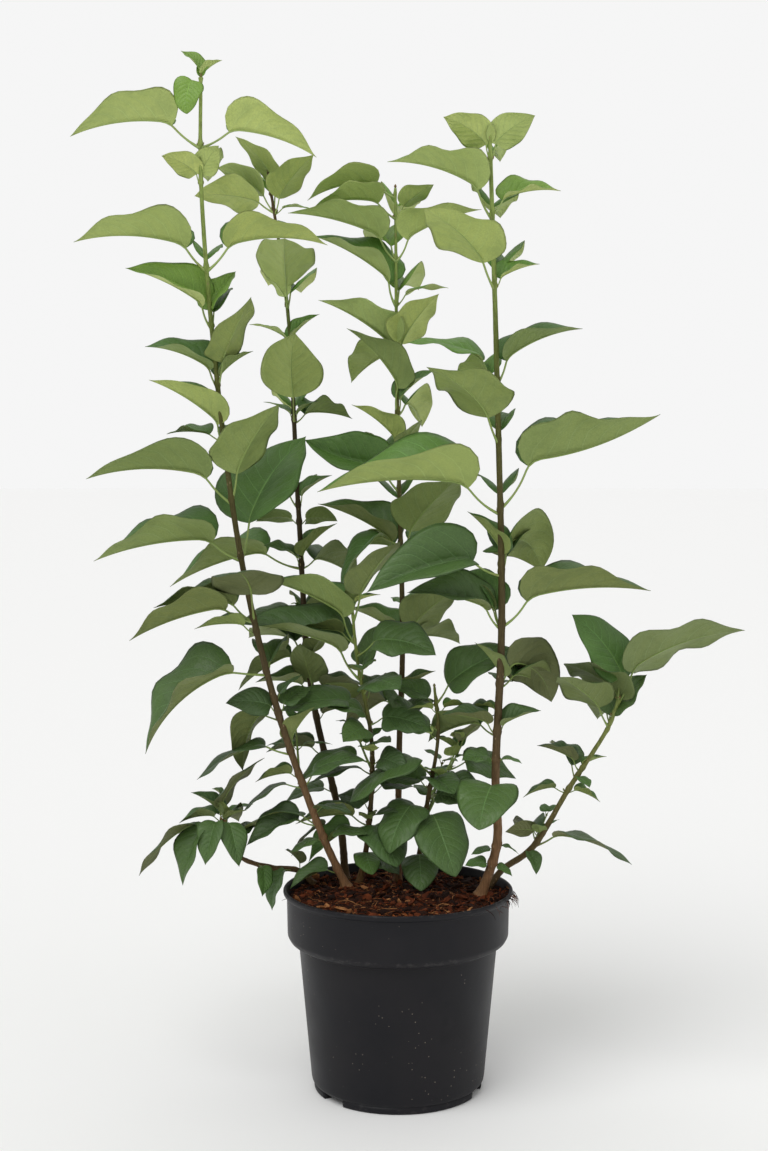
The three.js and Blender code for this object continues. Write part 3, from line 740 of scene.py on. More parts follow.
# %% Roots over the rim
RIM_ROOTS, RIM_CHIPS = 46, 34
for _ in range(RIM_ROOTS):
    turn = math.radians(rng.normal(-14, 9))
    add_fibre(fibre_pile, rng, polar(103 * MM, turn, POT_HEIGHT - 4 * MM),
              turn + rng.normal(0, 0.5), rng.uniform(9, 20) * MM, rng.uniform(0.2, 0.45) * MM,
              rng.choice([DAMP, RED, TAN], p=[0.7, 0.22, 0.08]),
              rng.uniform(0.5, 1.1), rng.uniform(1.6, 2.7))
for _ in range(RIM_CHIPS):
    turn = math.radians(rng.normal(-12, 12))
    at = polar(rng.uniform(95, 106) * MM, turn, POT_HEIGHT - rng.uniform(0, 5) * MM)
    add_chip(chip_pile, rng, at, rng.uniform(1.2, 3.6) * MM,
             rng.choice([DAMP, RED], p=[0.7, 0.3]), 0.9)
print("with the rim's tuft:", fibre_pile.count, "points of fibre")


# %% Soil finishes
def earth(name, base, other, roughness, relief):
    """A crumbly, matt finish: two tones by grain, dark specks and a rough relief."""
    made, tree, shader, place = new_material(name)
    tone = place_group(tree, grain_group, Place=place, Base=base, Other=other,
                       Scale=90.0, Fine=1300.0)
    pits = place_group(tree, specks_group, Place=place, Scale=500.0, Size=0.32, Share=0.3)["Mask"]
    colour = blended(tree, times(tree, pits, 0.55), tone["Colour"], rgb(26, 15, 11))
    uneven = ranged(tree, tone["Height"], 0.3, 0.7, roughness - 0.08, roughness + 0.06)
    surface(tree, shader, colour, uneven, 0.1)
    raise_relief(tree, shader, tone["Height"], relief)
    return made


soil_ground_finish = earth("coir_ground", rgb(34, 20, 15), rgb(64, 34, 22), 0.9, 0.8 * MM)
soil_finishes = [
    earth("coir_damp", rgb(29, 17, 13), rgb(48, 27, 19), 0.8, 0.4 * MM),
    earth("coir_red", rgb(72, 35, 20), rgb(104, 52, 28), 0.85, 0.4 * MM),
    earth("coir_tan", rgb(122, 76, 44), rgb(166, 116, 74), 0.85, 0.4 * MM),
    earth("coir_crumb", rgb(138, 72, 36), rgb(166, 98, 52), 0.9, 0.4 * MM),
]
soil = soil_pile.build("mix_ground", [soil_ground_finish])
chips = chip_pile.build("mix_chips", soil_finishes, flat=True)
fibres = fibre_pile.build("mix_fibres", soil_finishes)
for piece in (soil, chips, fibres):
    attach(piece, "root")
    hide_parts("soil")
print("mix faces:", [len(piece.data.polygons) for piece in (soil, chips, fibres)])

# %% [markdown]
# ## The stems' lines
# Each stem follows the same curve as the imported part: a smooth line through a few places, with
# the knots spaced by the square root of the distance between them (centripetal). That spacing
# keeps the line from looping where two places lie close together.

# %% Places, radii and root flare of each stem, in millimetres
STEMS = {
    "left_cane": dict(radii=(3.8, 2.6, 1.5), flare=3.4, bark="cane", through=(
        (-50, 25, 186), (-72, 18, 237), (-114, -1, 361), (-147, -24, 511), (-168, -55, 701),
        (-176, -80, 849), (-174, -95, 935))),
    "back_left_cane": dict(radii=(3.7, 2.6, 1.3), flare=3.0, bark="dark", through=(
        (-52, 60, 186), (-57, 66, 243), (-86, 83, 372), (-100, 107, 557), (-112, 133, 760),
        (-132, 150, 896))),
    "centre_cane": dict(radii=(3.4, 2.3, 1.3), flare=2.6, bark="cane", through=(
        (0, 51, 186), (2, 64, 327), (5, 72, 417), (0, 94, 650), (-2, 115, 874))),
    "right_cane": dict(radii=(4.4, 3.0, 1.7), flare=3.6, bark="cane", through=(
        (79, -5, 186), (94, -10, 236), (92, -18, 303), (96, -34, 447), (89, -61, 673),
        (80, -88, 887))),
    "front_shoot": dict(radii=(2.7, 2.0, 1.3), flare=2.0, bark="shoot", through=(
        (-38, 46, 186), (-30, 40, 227), (-25, 24, 325), (-39, 9, 411), (-44, 0, 465))),
    "middle_shoot": dict(radii=(2.6, 2.0, 1.3), flare=1.8, bark="shoot", through=(
        (17, 42, 186), (28, 30, 263), (39, 18, 339), (35, 10, 384))),
    "right_side_shoot": dict(radii=(3.2, 2.5, 1.7), flare=1.6, bark="side", through=(
        (88, 25, 186), (102, 28, 203), (129, 23, 224), (164, 9, 286), (200, -4, 348),
        (209, -10, 375))),
    "left_side_shoot": dict(radii=(2.6, 2.1, 1.5), flare=1.4, bark="dark", through=(
        (-82, 38, 186), (-98, 43, 198.5), (-124, 42, 202), (-154, 28, 216), (-169, 3, 257))),
}


# %% The line of a stem
def centripetal(places, steps=40):
    """A curve through the places. Between two of them it is the cubic c0 + c1 t + c2 t^2 + c3 t^3
    whose slopes at both ends come from the neighbouring places, weighed by knot spacings that
    are the square root of the distances."""
    places = np.asarray(places, float)
    ends = np.concatenate([[2 * places[0] - places[1]], places, [2 * places[-1] - places[-2]]])
    t = np.linspace(0, 1, steps, endpoint=False)[:, None]
    out = []
    for four in zip(ends[:-3], ends[1:-2], ends[2:-1], ends[3:]):
        p0, p1, p2, p3 = four
        d0, d1, d2 = (math.sqrt(np.linalg.norm(b - a)) for a, b in zip(four, four[1:]))
        slope_in = ((p1 - p0) / d0 - (p2 - p0) / (d0 + d1) + (p2 - p1) / d1) * d1
        slope_out = ((p2 - p1) / d1 - (p3 - p1) / (d1 + d2) + (p3 - p2) / d2) * d1
        out.append(p1 + slope_in * t + (3 * (p2 - p1) - 2 * slope_in - slope_out) * t ** 2
                   + (2 * (p1 - p2) + slope_in + slope_out) * t ** 3)
    return np.concatenate(out + [places[-1:]])


def evenly(path, count):
    """The same line with so many points, evenly spaced along it."""
    along = along_of(path)
    wanted = np.linspace(0, along[-1], count)
    return np.stack([np.interp(wanted, along, path[:, k]) for k in range(3)], -1)


RING_GAP = 1.6 * MM
FLARE_REACH = 14 * MM


class Stem:
    """A stem's line, radius and nodes. A node is where a pair of leaves sits. The radius goes
    evenly from foot to middle to tip, plus flare * e^(-3 s / reach) at the foot."""

    def __init__(self, name, radii, flare, bark, through):
        self.name, self.bark, self.nodes = name, bark, []
        line = centripetal(np.array(through) * MM)
        self.length = along_of(line)[-1]
        self.path = evenly(line, int(self.length / RING_GAP))
        self.along = along_of(self.path)
        taper = np.interp(self.along / self.length, (0, 0.5, 1), np.array(radii) * MM)
        self.radius = taper + flare * MM * np.exp(-3 * self.along / FLARE_REACH)

    def at(self, height):
        """The middle of the stem at a height."""
        return np.array([np.interp(height, self.path[:, 2], self.path[:, k]) for k in range(3)])


stems = {name: Stem(name, **facts) for name, facts in STEMS.items()}
for name, stem in stems.items():
    print(name, "is", round(stem.length, 3), "m long")

# %% [markdown]
# ## Where the leaves sit
# A lilac bears its leaves in opposite pairs, and between the pairs the cane is bare, so the look of
# the bush is in where the nodes are and which way each leaf goes. Each leaf below is one row: the
# height of its node, its compass direction (0 to the right, 90 to the back, 180 to the left, -90
# to the front), how steeply the straight line from node to tip rises, and how far it reaches, in
# millimetres and degrees. Its posture is how the blade bends along its length and how its halves
# fold, and a last number, where there is one, rolls the blade about its line. Most are keeled:
# the halves stand up from an arched midrib, which is how sun leaves hold themselves.

# %% Postures, and the leaves of each mass
KEEL, BOW, LIFT, NOD, OPEN = "keel", "bow", "lift", "nod", "open"
HANG, FLAT, CREST, ROUND = "hang", "flat", "crest", "round"
# In degrees: the slope of the stalk at its foot and head, the slope of the blade at its base and
# tip, both before the whole line is turned to the row's rise, and the fold of the halves. Then
# four shares: half the blade's width over its length, how slowly it widens at its base, how far
# it is drawn back beside the stalk over its width, and how finely its tip is drawn out.
POSTURES = {
    KEEL: ((20, 54), (6, -18), 52, 0.36, 0.05, 0.10, 1.4),
    BOW: ((26, 50), (7, -26), 52, 0.36, 0.05, 0.12, 1.3),
    LIFT: ((30, 62), (-8, 22), 54, 0.40, 0.05, 0.10, 1.3),
    NOD: ((62, 72), (20, -62), 34, 0.40, 0.07, 0.20, 1.1),
    OPEN: ((30, 50), (24, 0), 22, 0.40, 0.08, 0.05, 1.3),
    HANG: ((35, 40), (-22, -66), 30, 0.34, 0.08, 0.15, 1.3),
    FLAT: ((28, 52), (10, -24), 14, 0.38, 0.07, 0.20, 1.2),
    CREST: ((10, 18), (-8, -62), 50, 0.34, 0.06, 0.12, 1.4),
    ROUND: ((45, 55), (-10, -45), 10, 0.46, 0.08, 0.25, 0.8),
}
# A stalk's middle leaves the cane this far under the node's height, which is its upper edge.
AXIL = 4
LEAVES = {
    "left_crown_top": [
        (935, 165, 57, 34, KEEL, 30), (935, 15, 47, 28, KEEL), (935, -125, -58, 36, ROUND, 25),
        (935, 100, 60, 20, KEEL),
        (880, -175, 4, 114, BOW), (880, 5, -4, 103, BOW), (847, -155, 34, 44, FLAT, -45),
        (847, -42, 54, 41, FLAT, -45), (851, 88, 10, 80, KEEL)],
    "left_crown_upper": [
        (774, -176, 12, 121, BOW), (774, 4, 13, 112, BOW), (774, 95, 20, 60, KEEL)],
    "left_crown_high_middle": [
        (723, -172, 35, 94, KEEL, 30), (723, 40, 62, 62, KEEL, 30), (723, 80, 35, 70, KEEL),
        (670, -50, 53, 98, OPEN, 10), (670, -172, 30, 76, BOW, 25), (670, 30, 45, 50, KEEL)],
    "left_crown_middle": [
        (617, -165, 41, 92, KEEL, 10), (621, 160, 8, 60, OPEN), (621, 70, 10, 70, OPEN),
        (564, -176, 10, 136, BOW, 0), (567, -45, 53, 110, OPEN)],
    "left_crown_low_middle": [
        (511, -178, 0, 138, KEEL, 5), (511, 60, 50, 154, OPEN)],
    "left_crown_lower": [
        (453, 180, 8, 96, KEEL), (453, -172, -8, 118, KEEL), (453, -95, 26, 118, FLAT),
        (440, -178, 6, 60, KEEL)],
    "left_crown_low": [
        (402, -168, -32, 136, CREST, 15), (402, 60, 40, 50, KEEL), (402, 85, 10, 82, KEEL),
        (375, 15, 44, 38, OPEN)],
    "left_crown_foot": [
        (361, -165, 16, 54, FLAT, 50), (357, 150, -49, 70, HANG, -10), (361, 35, 35, 45, FLAT, 30),
        (324, -175, -15, 94, FLAT, 5), (324, -30, 60, 56, KEEL), (291, -178, -22, 63, FLAT),
        (291, -20, 25, 72, FLAT, 20), (300, 175, -5, 44, KEEL),
        (253, -172, -14, 72, KEEL, 25), (253, 170, -7, 80, FLAT, -20), (264, -40, 8, 46, FLAT),
        (237, -20, 12, 46, FLAT, 15), (237, -160, -15, 36, FLAT), (205, -168, -16, 52, KEEL, 20)],
    "back_left_crown_top": [
        (874, -172, 58, 70, FLAT, -25), (856, -30, 50, 74, OPEN, -20), (856, 0, 5, 42, FLAT),
        (858, 172, 13, 87, OPEN, -35), (858, 170, 38, 78, OPEN, -25), (860, 90, 20, 90, KEEL)],
    "back_left_crown_upper": [
        (760, -90, 31, 112, OPEN), (760, -170, 56, 48, OPEN, -20), (719, -175, 30, 48, FLAT),
        (719, 0, 50, 46, KEEL, 30), (760, 82, 15, 100, KEEL), (760, 105, 20, 95, KEEL)],
    "back_left_crown_middle": [
        (643, -92, 50, 112, OPEN), (643, 175, 35, 38, FLAT), (643, 0, 40, 36, FLAT),
        (643, 95, 10, 100, KEEL), (643, 35, 5, 70, KEEL)],
    "back_left_crown_lower": [
        (557, 0, 45, 48, KEEL, 30), (557, 180, 30, 80, KEEL), (497, 178, -8, 135, KEEL),
        (497, 5, 52, 58, KEEL), (497, -150, 30, 48, FLAT, 30), (540, 30, 5, 44, FLAT, -40),
        (540, 165, 5, 46, FLAT, -40), (557, 98, 10, 96, KEEL), (497, 52, -10, 92, KEEL)],
    "back_left_crown_foot": [
        (442, -160, 5, 62, FLAT, 30), (442, -5, 35, 58, KEEL), (400, -60, 43, 56, OPEN),
        (368, -120, 62, 66, OPEN),
        (372, 170, 10, 60, KEEL), (372, -10, 10, 55, KEEL), (345, 10, 22, 36, KEEL),
        (310, -170, 6, 60, KEEL), (275, -172, -11, 52, FLAT), (243, -165, -28, 58, FLAT, -30),
        (442, 85, -5, 98, KEEL), (407, 132, 8, 100, KEEL), (407, 172, -25, 80, KEEL),
        (372, 40, -20, 78, KEEL)],
    "centre_crown_top": [
        (868, -176, -1, 88, BOW), (847, -170, 6, 84, BOW), (847, -30, 34, 54, OPEN, -20),
        (804, -172, 23, 118, KEEL), (804, -12, 29, 100, KEEL), (847, 85, 5, 100, KEEL),
        (804, 110, 20, 90, KEEL)],
    "centre_crown_upper": [
        (759, 165, 40, 114, KEEL, 20), (759, 5, 20, 56, FLAT), (700, -30, 55, 84, OPEN, -20),
        (696, -172, 41, 104, KEEL), (759, 80, 15, 105, KEEL),
        (700, 120, -8, 92, KEEL)],
    "centre_crown_middle": [
        (650, -165, 60, 100, KEEL), (650, 0, 50, 60, KEEL, 20), (574, 178, 29, 108, LIFT, 55),
        (607, -160, 48, 72, KEEL), (607, -40, 50, 50, OPEN), (650, 72, -5, 100, KEEL),
        (607, 118, -10, 105, KEEL)],
    "centre_crown_lower": [
        (510, -45, 43, 116, OPEN, -20), (500, 175, 37, 104, KEEL, 10), (520, -165, -35, 75, HANG),
        (552, 95, 10, 100, KEEL), (510, 45, 0, 88, KEEL), (510, 145, 5, 68, KEEL)],
    "centre_crown_foot": [
        (417, -18, 47, 86, OPEN, -55), (363, -10, 45, 50, KEEL), (363, -100, 5, 60, FLAT, 30),
        (350, -10, 27, 40, FLAT, 30), (417, 95, 5, 100, KEEL), (417, 48, 0, 90, KEEL),
        (363, 135, -25, 84, KEEL), (417, 150, 32, 76, KEEL)],
    "right_crown_top": [
        (868, -158, 38, 58, FLAT, -50), (868, -25, 40, 56, FLAT, -50), (868, 80, 10, 76, KEEL)],
    "right_crown_shoulder": [
        (818, -178, 29, 107, BOW), (822, 8, 20, 66, BOW, 20), (817, 85, 10, 92, KEEL)],
    "right_crown_upper": [
        (757, -131, 33, 114, OPEN, -5), (757, 10, 30, 48, KEEL, 20), (757, 78, 20, 100, KEEL)],
    "right_crown_middle": [
        (673, 178, 25, 90, FLAT, 12), (673, 5, 33, 94, BOW, 5), (619, -128, 34, 118, OPEN, -5),
        (619, 75, 30, 60, KEEL), (673, 115, 5, 70, KEEL)],
    "right_crown_low_middle": [
        (555, -178, 7, 170, KEEL, 5), (560, 0, 31, 168, LIFT), (555, 88, 10, 100, KEEL)],
    "right_crown_lower": [
        (498, -165, -6, 128, KEEL, 45), (500, 58, -1, 84, NOD, -42), (505, 165, 58, 62, KEEL),
        (447, -168, 22, 98, KEEL, 35),
        (447, 150, 35, 70, KEEL), (450, 0, 14, 142, KEEL, 8), (498, 75, 8, 100, KEEL),
        (447, 128, 32, 92, KEEL)],
    "right_crown_foot": [
        (392, -165, 61, 50, KEEL), (394, 40, -17, 72, NOD, -42), (346, -165, 22, 60, KEEL),
        (346, 0, 30, 48, KEEL, 20), (286, -108, -14, 70, ROUND), (319, -150, 10, 40, FLAT, 30),
        (319, -20, 5, 26, FLAT),
        (234, -170, -7, 24, FLAT, 20), (237, -10, -14, 22, FLAT), (218, -165, 6, 26, FLAT, 30),
        (218, -15, -20, 22, FLAT, 20), (392, 52, -8, 92, KEEL), (346, 132, -10, 95, KEEL)],
    "front_shoot_top": [
        (465, -100, 70, 26, OPEN), (465, 5, 25, 30, KEEL), (430, -176, 35, 107, KEEL),
        (418, -30, 4, 88, FLAT, 35), (452, -50, 48, 106, OPEN, 15), (394, -176, 25, 130, KEEL, 28),
        (394, 40, 60, 66, OPEN), (430, 170, 10, 60, KEEL)],
    "front_shoot_middle": [
        (394, -85, 20, 50, FLAT, 20), (358, -175, 4, 86, FLAT, 15), (350, -15, -4, 62, FLAT, 35),
        (372, 60, 25, 50, KEEL), (353, -150, 20, 50, FLAT, 20), (340, -120, 0, 50, FLAT, 30),
        (381, -62, 10, 70, FLAT, 20)],
    "front_shoot_low": [
        (312, -172, -14, 76, FLAT, 20), (310, -50, 0, 50, FLAT, 45), (325, -60, 20, 36, FLAT, 20),
        (318, -110, 25, 34, FLAT), (300, -168, -5, 60, FLAT)],
    "front_shoot_foot": [
        (280, 20, 5, 46, FLAT, 30), (248, -176, 2, 72, KEEL), (243, -168, -25, 66, KEEL, 10),
        (240, -62, -20, 62, ROUND), (250, -120, 40, 24, OPEN), (250, -60, 50, 22, OPEN),
        (262, 155, 20, 40, FLAT, 30), (215, -80, -15, 34, ROUND), (212, -35, -10, 44, FLAT, 25)],
    "middle_shoot_top": [
        (362, -170, 10, 30, KEEL), (362, 5, 12, 32, KEEL), (335, -175, 15, 34, KEEL),
        (372, -20, 36, 95, OPEN, 40), (368, 165, 25, 50, OPEN, 30), (345, -165, 5, 46, FLAT, 40)],
    "middle_shoot_foot": [
        (300, -160, -14, 86, ROUND), (285, 160, 10, 50, FLAT, 30), (285, -60, 5, 46, ROUND),
        (262, -130, -26, 66, ROUND), (255, -68, -34, 76, ROUND), (263, -160, 0, 52, FLAT, 20),
        (215, -88, -26, 48, ROUND), (275, -30, 0, 42, FLAT, 30)],
    "right_side_shoot_top": [
        (373, -4, 31, 140, FLAT, -34), (378, -172, 61, 94, FLAT, 60), (352, -140, 36, 92, OPEN, -10),
        (362, -160, 46, 73, ROUND, -20), (345, 10, 53, 70, OPEN, 30), (355, 92, -5, 76, KEEL)],
    "right_side_shoot_middle": [
        (307, -176, 32, 48, KEEL), (307, 5, 30, 30, KEEL), (286, -178, -5, 42, KEEL),
        (286, 0, -15, 34, KEEL), (300, -60, -10, 25, FLAT), (300, 110, 28, 60, KEEL)],
    "right_side_shoot_foot": [
        (240, -165, 12, 36, FLAT, -60), (240, -100, 40, 28, OPEN), (231, -4, -9, 96, FLAT, -12),
        (222, -60, -30, 28, HANG), (235, 98, -5, 66, KEEL)],
    "left_side_shoot_top": [
        (255, -175, -30, 94, FLAT, -10), (258, 180, 0, 42, BOW), (258, -170, 45, 43, KEEL, 20),
        (257, -120, 70, 26, KEEL), (257, 0, 58, 76, FLAT, -20), (257, 0, 30, 26, KEEL),
        (257, -110, -43, 48, HANG), (250, -150, -49, 66, HANG, 10), (257, -62, -48, 48, HANG),
        (235, 50, 20, 40, FLAT), (250, 90, -5, 68, KEEL)],
    "left_side_shoot_foot": [
        (210, -60, -64, 32, HANG), (203, -160, -58, 46, HANG, 20), (201, -130, 48, 36, KEEL)],
}
# A mass is named after its stem, and the longest name that fits is the right one.
STEM_OF = {}
for mass in LEAVES:
    fitting = [name for name in STEMS if mass.startswith(name.replace("_cane", "_"))]
    STEM_OF[mass] = max(fitting, key=len)
print(sum(len(rows) for rows in LEAVES.values()), "leaves placed in", len(LEAVES), "masses")

# %% [markdown]
# ## Twigs by rule
# Low down, and at the back, short side twigs fill the bush in. They follow a rule, not a list: a
# twig leaves a node, turns slowly upwards, and carries pairs of leaves that alternate crosswise,
# each pair smaller than the one below. The random numbers are seeded, so each run grows the same.

# %% The fork and the twigs
# The middle shoot forks: its side branch is a line of its own, with rows like the ones above.
FORK = dict(radii=(1.6, 1.3, 0.9), flare=0.6, bark="shoot", through=(
    (28, 30, 255), (45, 30, 290), (60, 28, 322)))
FORK_LEAVES = [
    (319, -40, 43, 66, OPEN), (319, -170, 40, 30, KEEL), (305, 5, -9, 67, FLAT, 40),
    (290, -30, -5, 44, FLAT, 30), (319, 60, 50, 30, OPEN)]
# Each twig's node height, direction, rise, length, leaf length and number of pairs.
TWIGS = {
    "left_crown_foot": [(300, 95, 35, 60, 40, 2)],
    "back_left_crown_foot": [(400, 110, 30, 70, 46, 2)],
    "centre_crown_foot": [(400, 100, 35, 70, 44, 2)],
    "right_crown_foot": [(340, 80, 35, 60, 42, 2)],
    "front_shoot_low": [(300, 120, 40, 50, 36, 2)],
    "middle_shoot_foot": [(250, 60, 45, 60, 38, 3)],
    "middle_shoot_top": [(275, -20, 48, 62, 38, 3)],
    "left_side_shoot_top": [(240, 100, 20, 50, 36, 2)],
    "right_side_shoot_foot": [(225, 70, 20, 45, 34, 2)],
}
TWIG_POINTS = 12


class Leaf:
    """One leaf: where it starts, which way it goes and how it holds itself. Lengths in metres,
    angles in degrees. stalk is the stalk's share of the whole line."""

    def __init__(self, rng, start, azimuth, rise, reach, posture, roll=0):
        self.start, self.azimuth, self.rise, self.reach = start, azimuth, rise, reach
        (self.stalk_slopes, self.blade_slopes, self.fold,
         self.broad, self.wedge, self.lobe, self.point) = POSTURES[posture]
        self.roll = roll
        self.stalk = rng.uniform(0.21, 0.27)
        self.broad *= rng.uniform(0.94, 1.08)
        self.fold += rng.normal(0, 5)
        self.uneven = rng.normal(0, 5)
        self.twist = rng.normal(0, 9)
        self.sway = rng.normal(0, 0.08)
        self.wave = rng.uniform(0.07, 0.15)
        self.beats = rng.uniform(9, 15)
        self.phase = rng.uniform(0, 2 * math.pi)
        self.own = rng.uniform(0, 1, 2)


def leaf_on(line, rng, height, azimuth, rise, reach, *rest):
    """The leaf of one row, on a stem or on the fork."""
    return Leaf(rng, line.at((height - AXIL) * MM), azimuth, rise, reach * MM, *rest)


def grow_twig(stem, rng, height, azimuth, rise, length, leaf, pairs):
    """The twig's path, and the leaves on it. At share t of its length a leaf is
    leaf * (1 - 0.45 t) long, and the pairs stand crosswise in turn."""
    t = np.linspace(0, 1, TWIG_POINTS)
    heading = math.radians(azimuth) + 0.25 * rng.normal() * t
    slope = np.radians(rise + 25 * t)
    path = walked(stem.at(height * MM), heading, slope, length * MM / (TWIG_POINTS - 1))
    leaves = []
    for pair in range(pairs):
        share = (pair + 1) / pairs
        at = np.array([np.interp(share, t, path[:, k]) for k in range(3)])
        for side in (-1, 1):
            turn = azimuth + side * (90 if pair % 2 == 0 else 35) + rng.normal(0, 12)
            reach = leaf * MM * (1 - 0.45 * share) * rng.uniform(0.9, 1.15)
            posture = rng.choice([FLAT, OPEN, KEEL], p=[0.5, 0.3, 0.2])
            leaves.append(Leaf(rng, at, turn, rng.uniform(5, 45), reach, str(posture)))
    return path, leaves


rng = np.random.default_rng(5)
grown = {mass: [] for mass in LEAVES}
twig_paths = {name: [] for name in STEMS}
for mass, rows in LEAVES.items():
    stem = stems[STEM_OF[mass]]
    for row in rows:
        grown[mass].append(leaf_on(stem, rng, *row))
        stem.nodes.append((row[0] * MM, math.radians(row[1])))
    for site in TWIGS.get(mass, []):
        path, leaves = grow_twig(stem, rng, *site)
        twig_paths[stem.name].append(path)
        grown[mass] += leaves
fork = Stem("fork", **FORK)
twig_paths["middle_shoot"].append(fork.path)
grown["middle_shoot_top"] += [leaf_on(fork, rng, *row) for row in FORK_LEAVES]
print(sum(len(leaves) for leaves in grown.values()), "leaves in all")

# %% [markdown]
# ## One leaf as a closed, curved skin
# A lilac leaf is heart-shaped: broad near the base, with two lobes that reach back past the
# stalk, and drawn out to a point. Its width comes from one formula, so the same function makes a
# bud leaf and a leaf as long as a hand. The two skins share their rim, their base and their tip,
# so each leaf is one closed body, thin as a real one.

# %% The template that all leaves share
LEAF_ROWS = 26
ALONG = 0.5 * (1 - np.cos(np.pi * np.linspace(0, 1, LEAF_ROWS)))
ACROSS = np.array([-1, -0.88, -0.66, -0.40, -0.14, 0, 0.14, 0.40, 0.66, 0.88, 1])
MIDRIB = len(ACROSS) // 2


def leaf_template():
    """Point numbers of the upper and lower grid, and face corners as (row, column). Points: base,
    tip, the upper grid with its rims, then the lower grid without them. The first and last rows are
    one point. Both skins are cut into threes along the same diagonals, so they never cross."""
    rows, columns = LEAF_ROWS, len(ACROSS)
    upper = np.zeros((rows, columns), int)
    upper[-1] = 1
    inner = (rows - 2) * columns
    upper[1:-1] = 2 + np.arange(inner).reshape(rows - 2, columns)
    lower = upper.copy()
    within = np.arange((rows - 2) * (columns - 2)).reshape(rows - 2, columns - 2)
    lower[1:-1, 1:-1] = 2 + inner + within
    r, c = np.meshgrid(np.arange(rows - 1), np.arange(columns - 1), indexing="ij")
    corners = np.stack([np.stack(pair, -1) for pair in
                        ((r, c), (r, c + 1), (r + 1, c + 1), (r + 1, c))], 2)
    first, second = corners[:-1][:, :, [0, 1, 2]], corners[:, :, [0, 2, 3]]
    thirds = [first[1:].reshape(-1, 3, 2), second[:-1].reshape(-1, 3, 2), corners[-1][:, [0, 1, 2]]]
    return upper, lower, np.concatenate(thirds)


TEMPLATE = leaf_template()


def half_width(leaf, along, length):
    """Half the blade's width: broad * length * (1 - e^(-u / wedge)) * (1 - u^3)^point. It widens at
    once, stays broad to the middle and is drawn out to its tip."""
    return leaf.broad * length * (1 - np.exp(-along / leaf.wedge)) * (1 - along ** 3) ** leaf.point


def drawn_back(along, half, edge, lobe):
    """How far back the blade reaches at its base, beside the stalk: lobe * width at the edge's
    share * e^(-u / 0.14)."""
    return lobe * 2 * np.abs(edge) * half * np.exp(-along / 0.14)


# %% [markdown]
# The leaf's line starts at the node. The stalk curves upwards, there is a knee where the blade
# begins, and from there the midrib arches over. The line is turned and scaled so that its chord
# is what the row says. The halves are folded up from the midrib, steepest at it.


# %% The line and the skins
LINE_STEPS = 80
HALF_THICKNESS = 0.22 * MM


def leaf_line(leaf, shares):
    """Places along the leaf's line, the upper side's direction there and the line's length. The
    slope goes from foot to head along the stalk, by a soft step to the blade's first slope, and
    evenly to its last. At share u of the blade it sways sideways by sway * reach * u (u - 0.4)."""
    (foot, head), (base, tip) = leaf.stalk_slopes, leaf.blade_slopes

    def slope(s):
        stalk = foot + (head - foot) * np.clip(s / leaf.stalk, 0, 1)
        blade = base + (tip - base) * np.clip((s - leaf.stalk) / (1 - leaf.stalk), 0, 1)
        step = smooth((s - leaf.stalk + 0.05) / 0.15)
        return np.radians(stalk + (blade - stalk) * step)

    fine = np.linspace(0, 1, LINE_STEPS + 1)
    middle = slope((fine[1:] + fine[:-1]) / 2)
    forward = np.concatenate([[0], np.cumsum(np.cos(middle))])
    upward = np.concatenate([[0], np.cumsum(np.sin(middle))])
    turn = math.radians(leaf.rise) - math.atan2(upward[-1], forward[-1])
    scale = leaf.reach / math.hypot(upward[-1], forward[-1])
    angle = slope(shares) + turn
    out = np.interp(shares, fine, scale * (forward * math.cos(turn) - upward * math.sin(turn)))
    up = np.interp(shares, fine, scale * (forward * math.sin(turn) + upward * math.cos(turn)))
    a = math.radians(leaf.azimuth)
    along = np.clip((shares - leaf.stalk) / (1 - leaf.stalk), 0, 1)
    sideways = leaf.sway * leaf.reach * along * (along - 0.4)
    places = leaf.start + np.stack([out * math.cos(a) + sideways * math.sin(a),
                                    out * math.sin(a) - sideways * math.cos(a), up], -1)
    upper = np.stack([-np.sin(angle) * math.cos(a), -np.sin(angle) * math.sin(a), np.cos(angle)], -1)
    return places, upper, scale * LINE_STEPS


def leaf_frames(leaf, places, upper, along):
    """Ahead, the upper side's normal and the right hand, at each place of the line. The roll
    turns the upper side to the front, and a twist adds to it along the blade."""
    ahead = unit(np.gradient(places, axis=0))
    right = unit(np.cross(ahead, upper))
    normal = np.cross(right, ahead)
    front = math.copysign(1, math.cos(math.radians(leaf.azimuth)))
    lean = front * np.radians(leaf.roll + leaf.twist * (along - 0.3))[:, None]
    cos, sin = np.cos(lean), np.sin(lean)
    return ahead, cos * normal + sin * right, cos * right - sin * normal


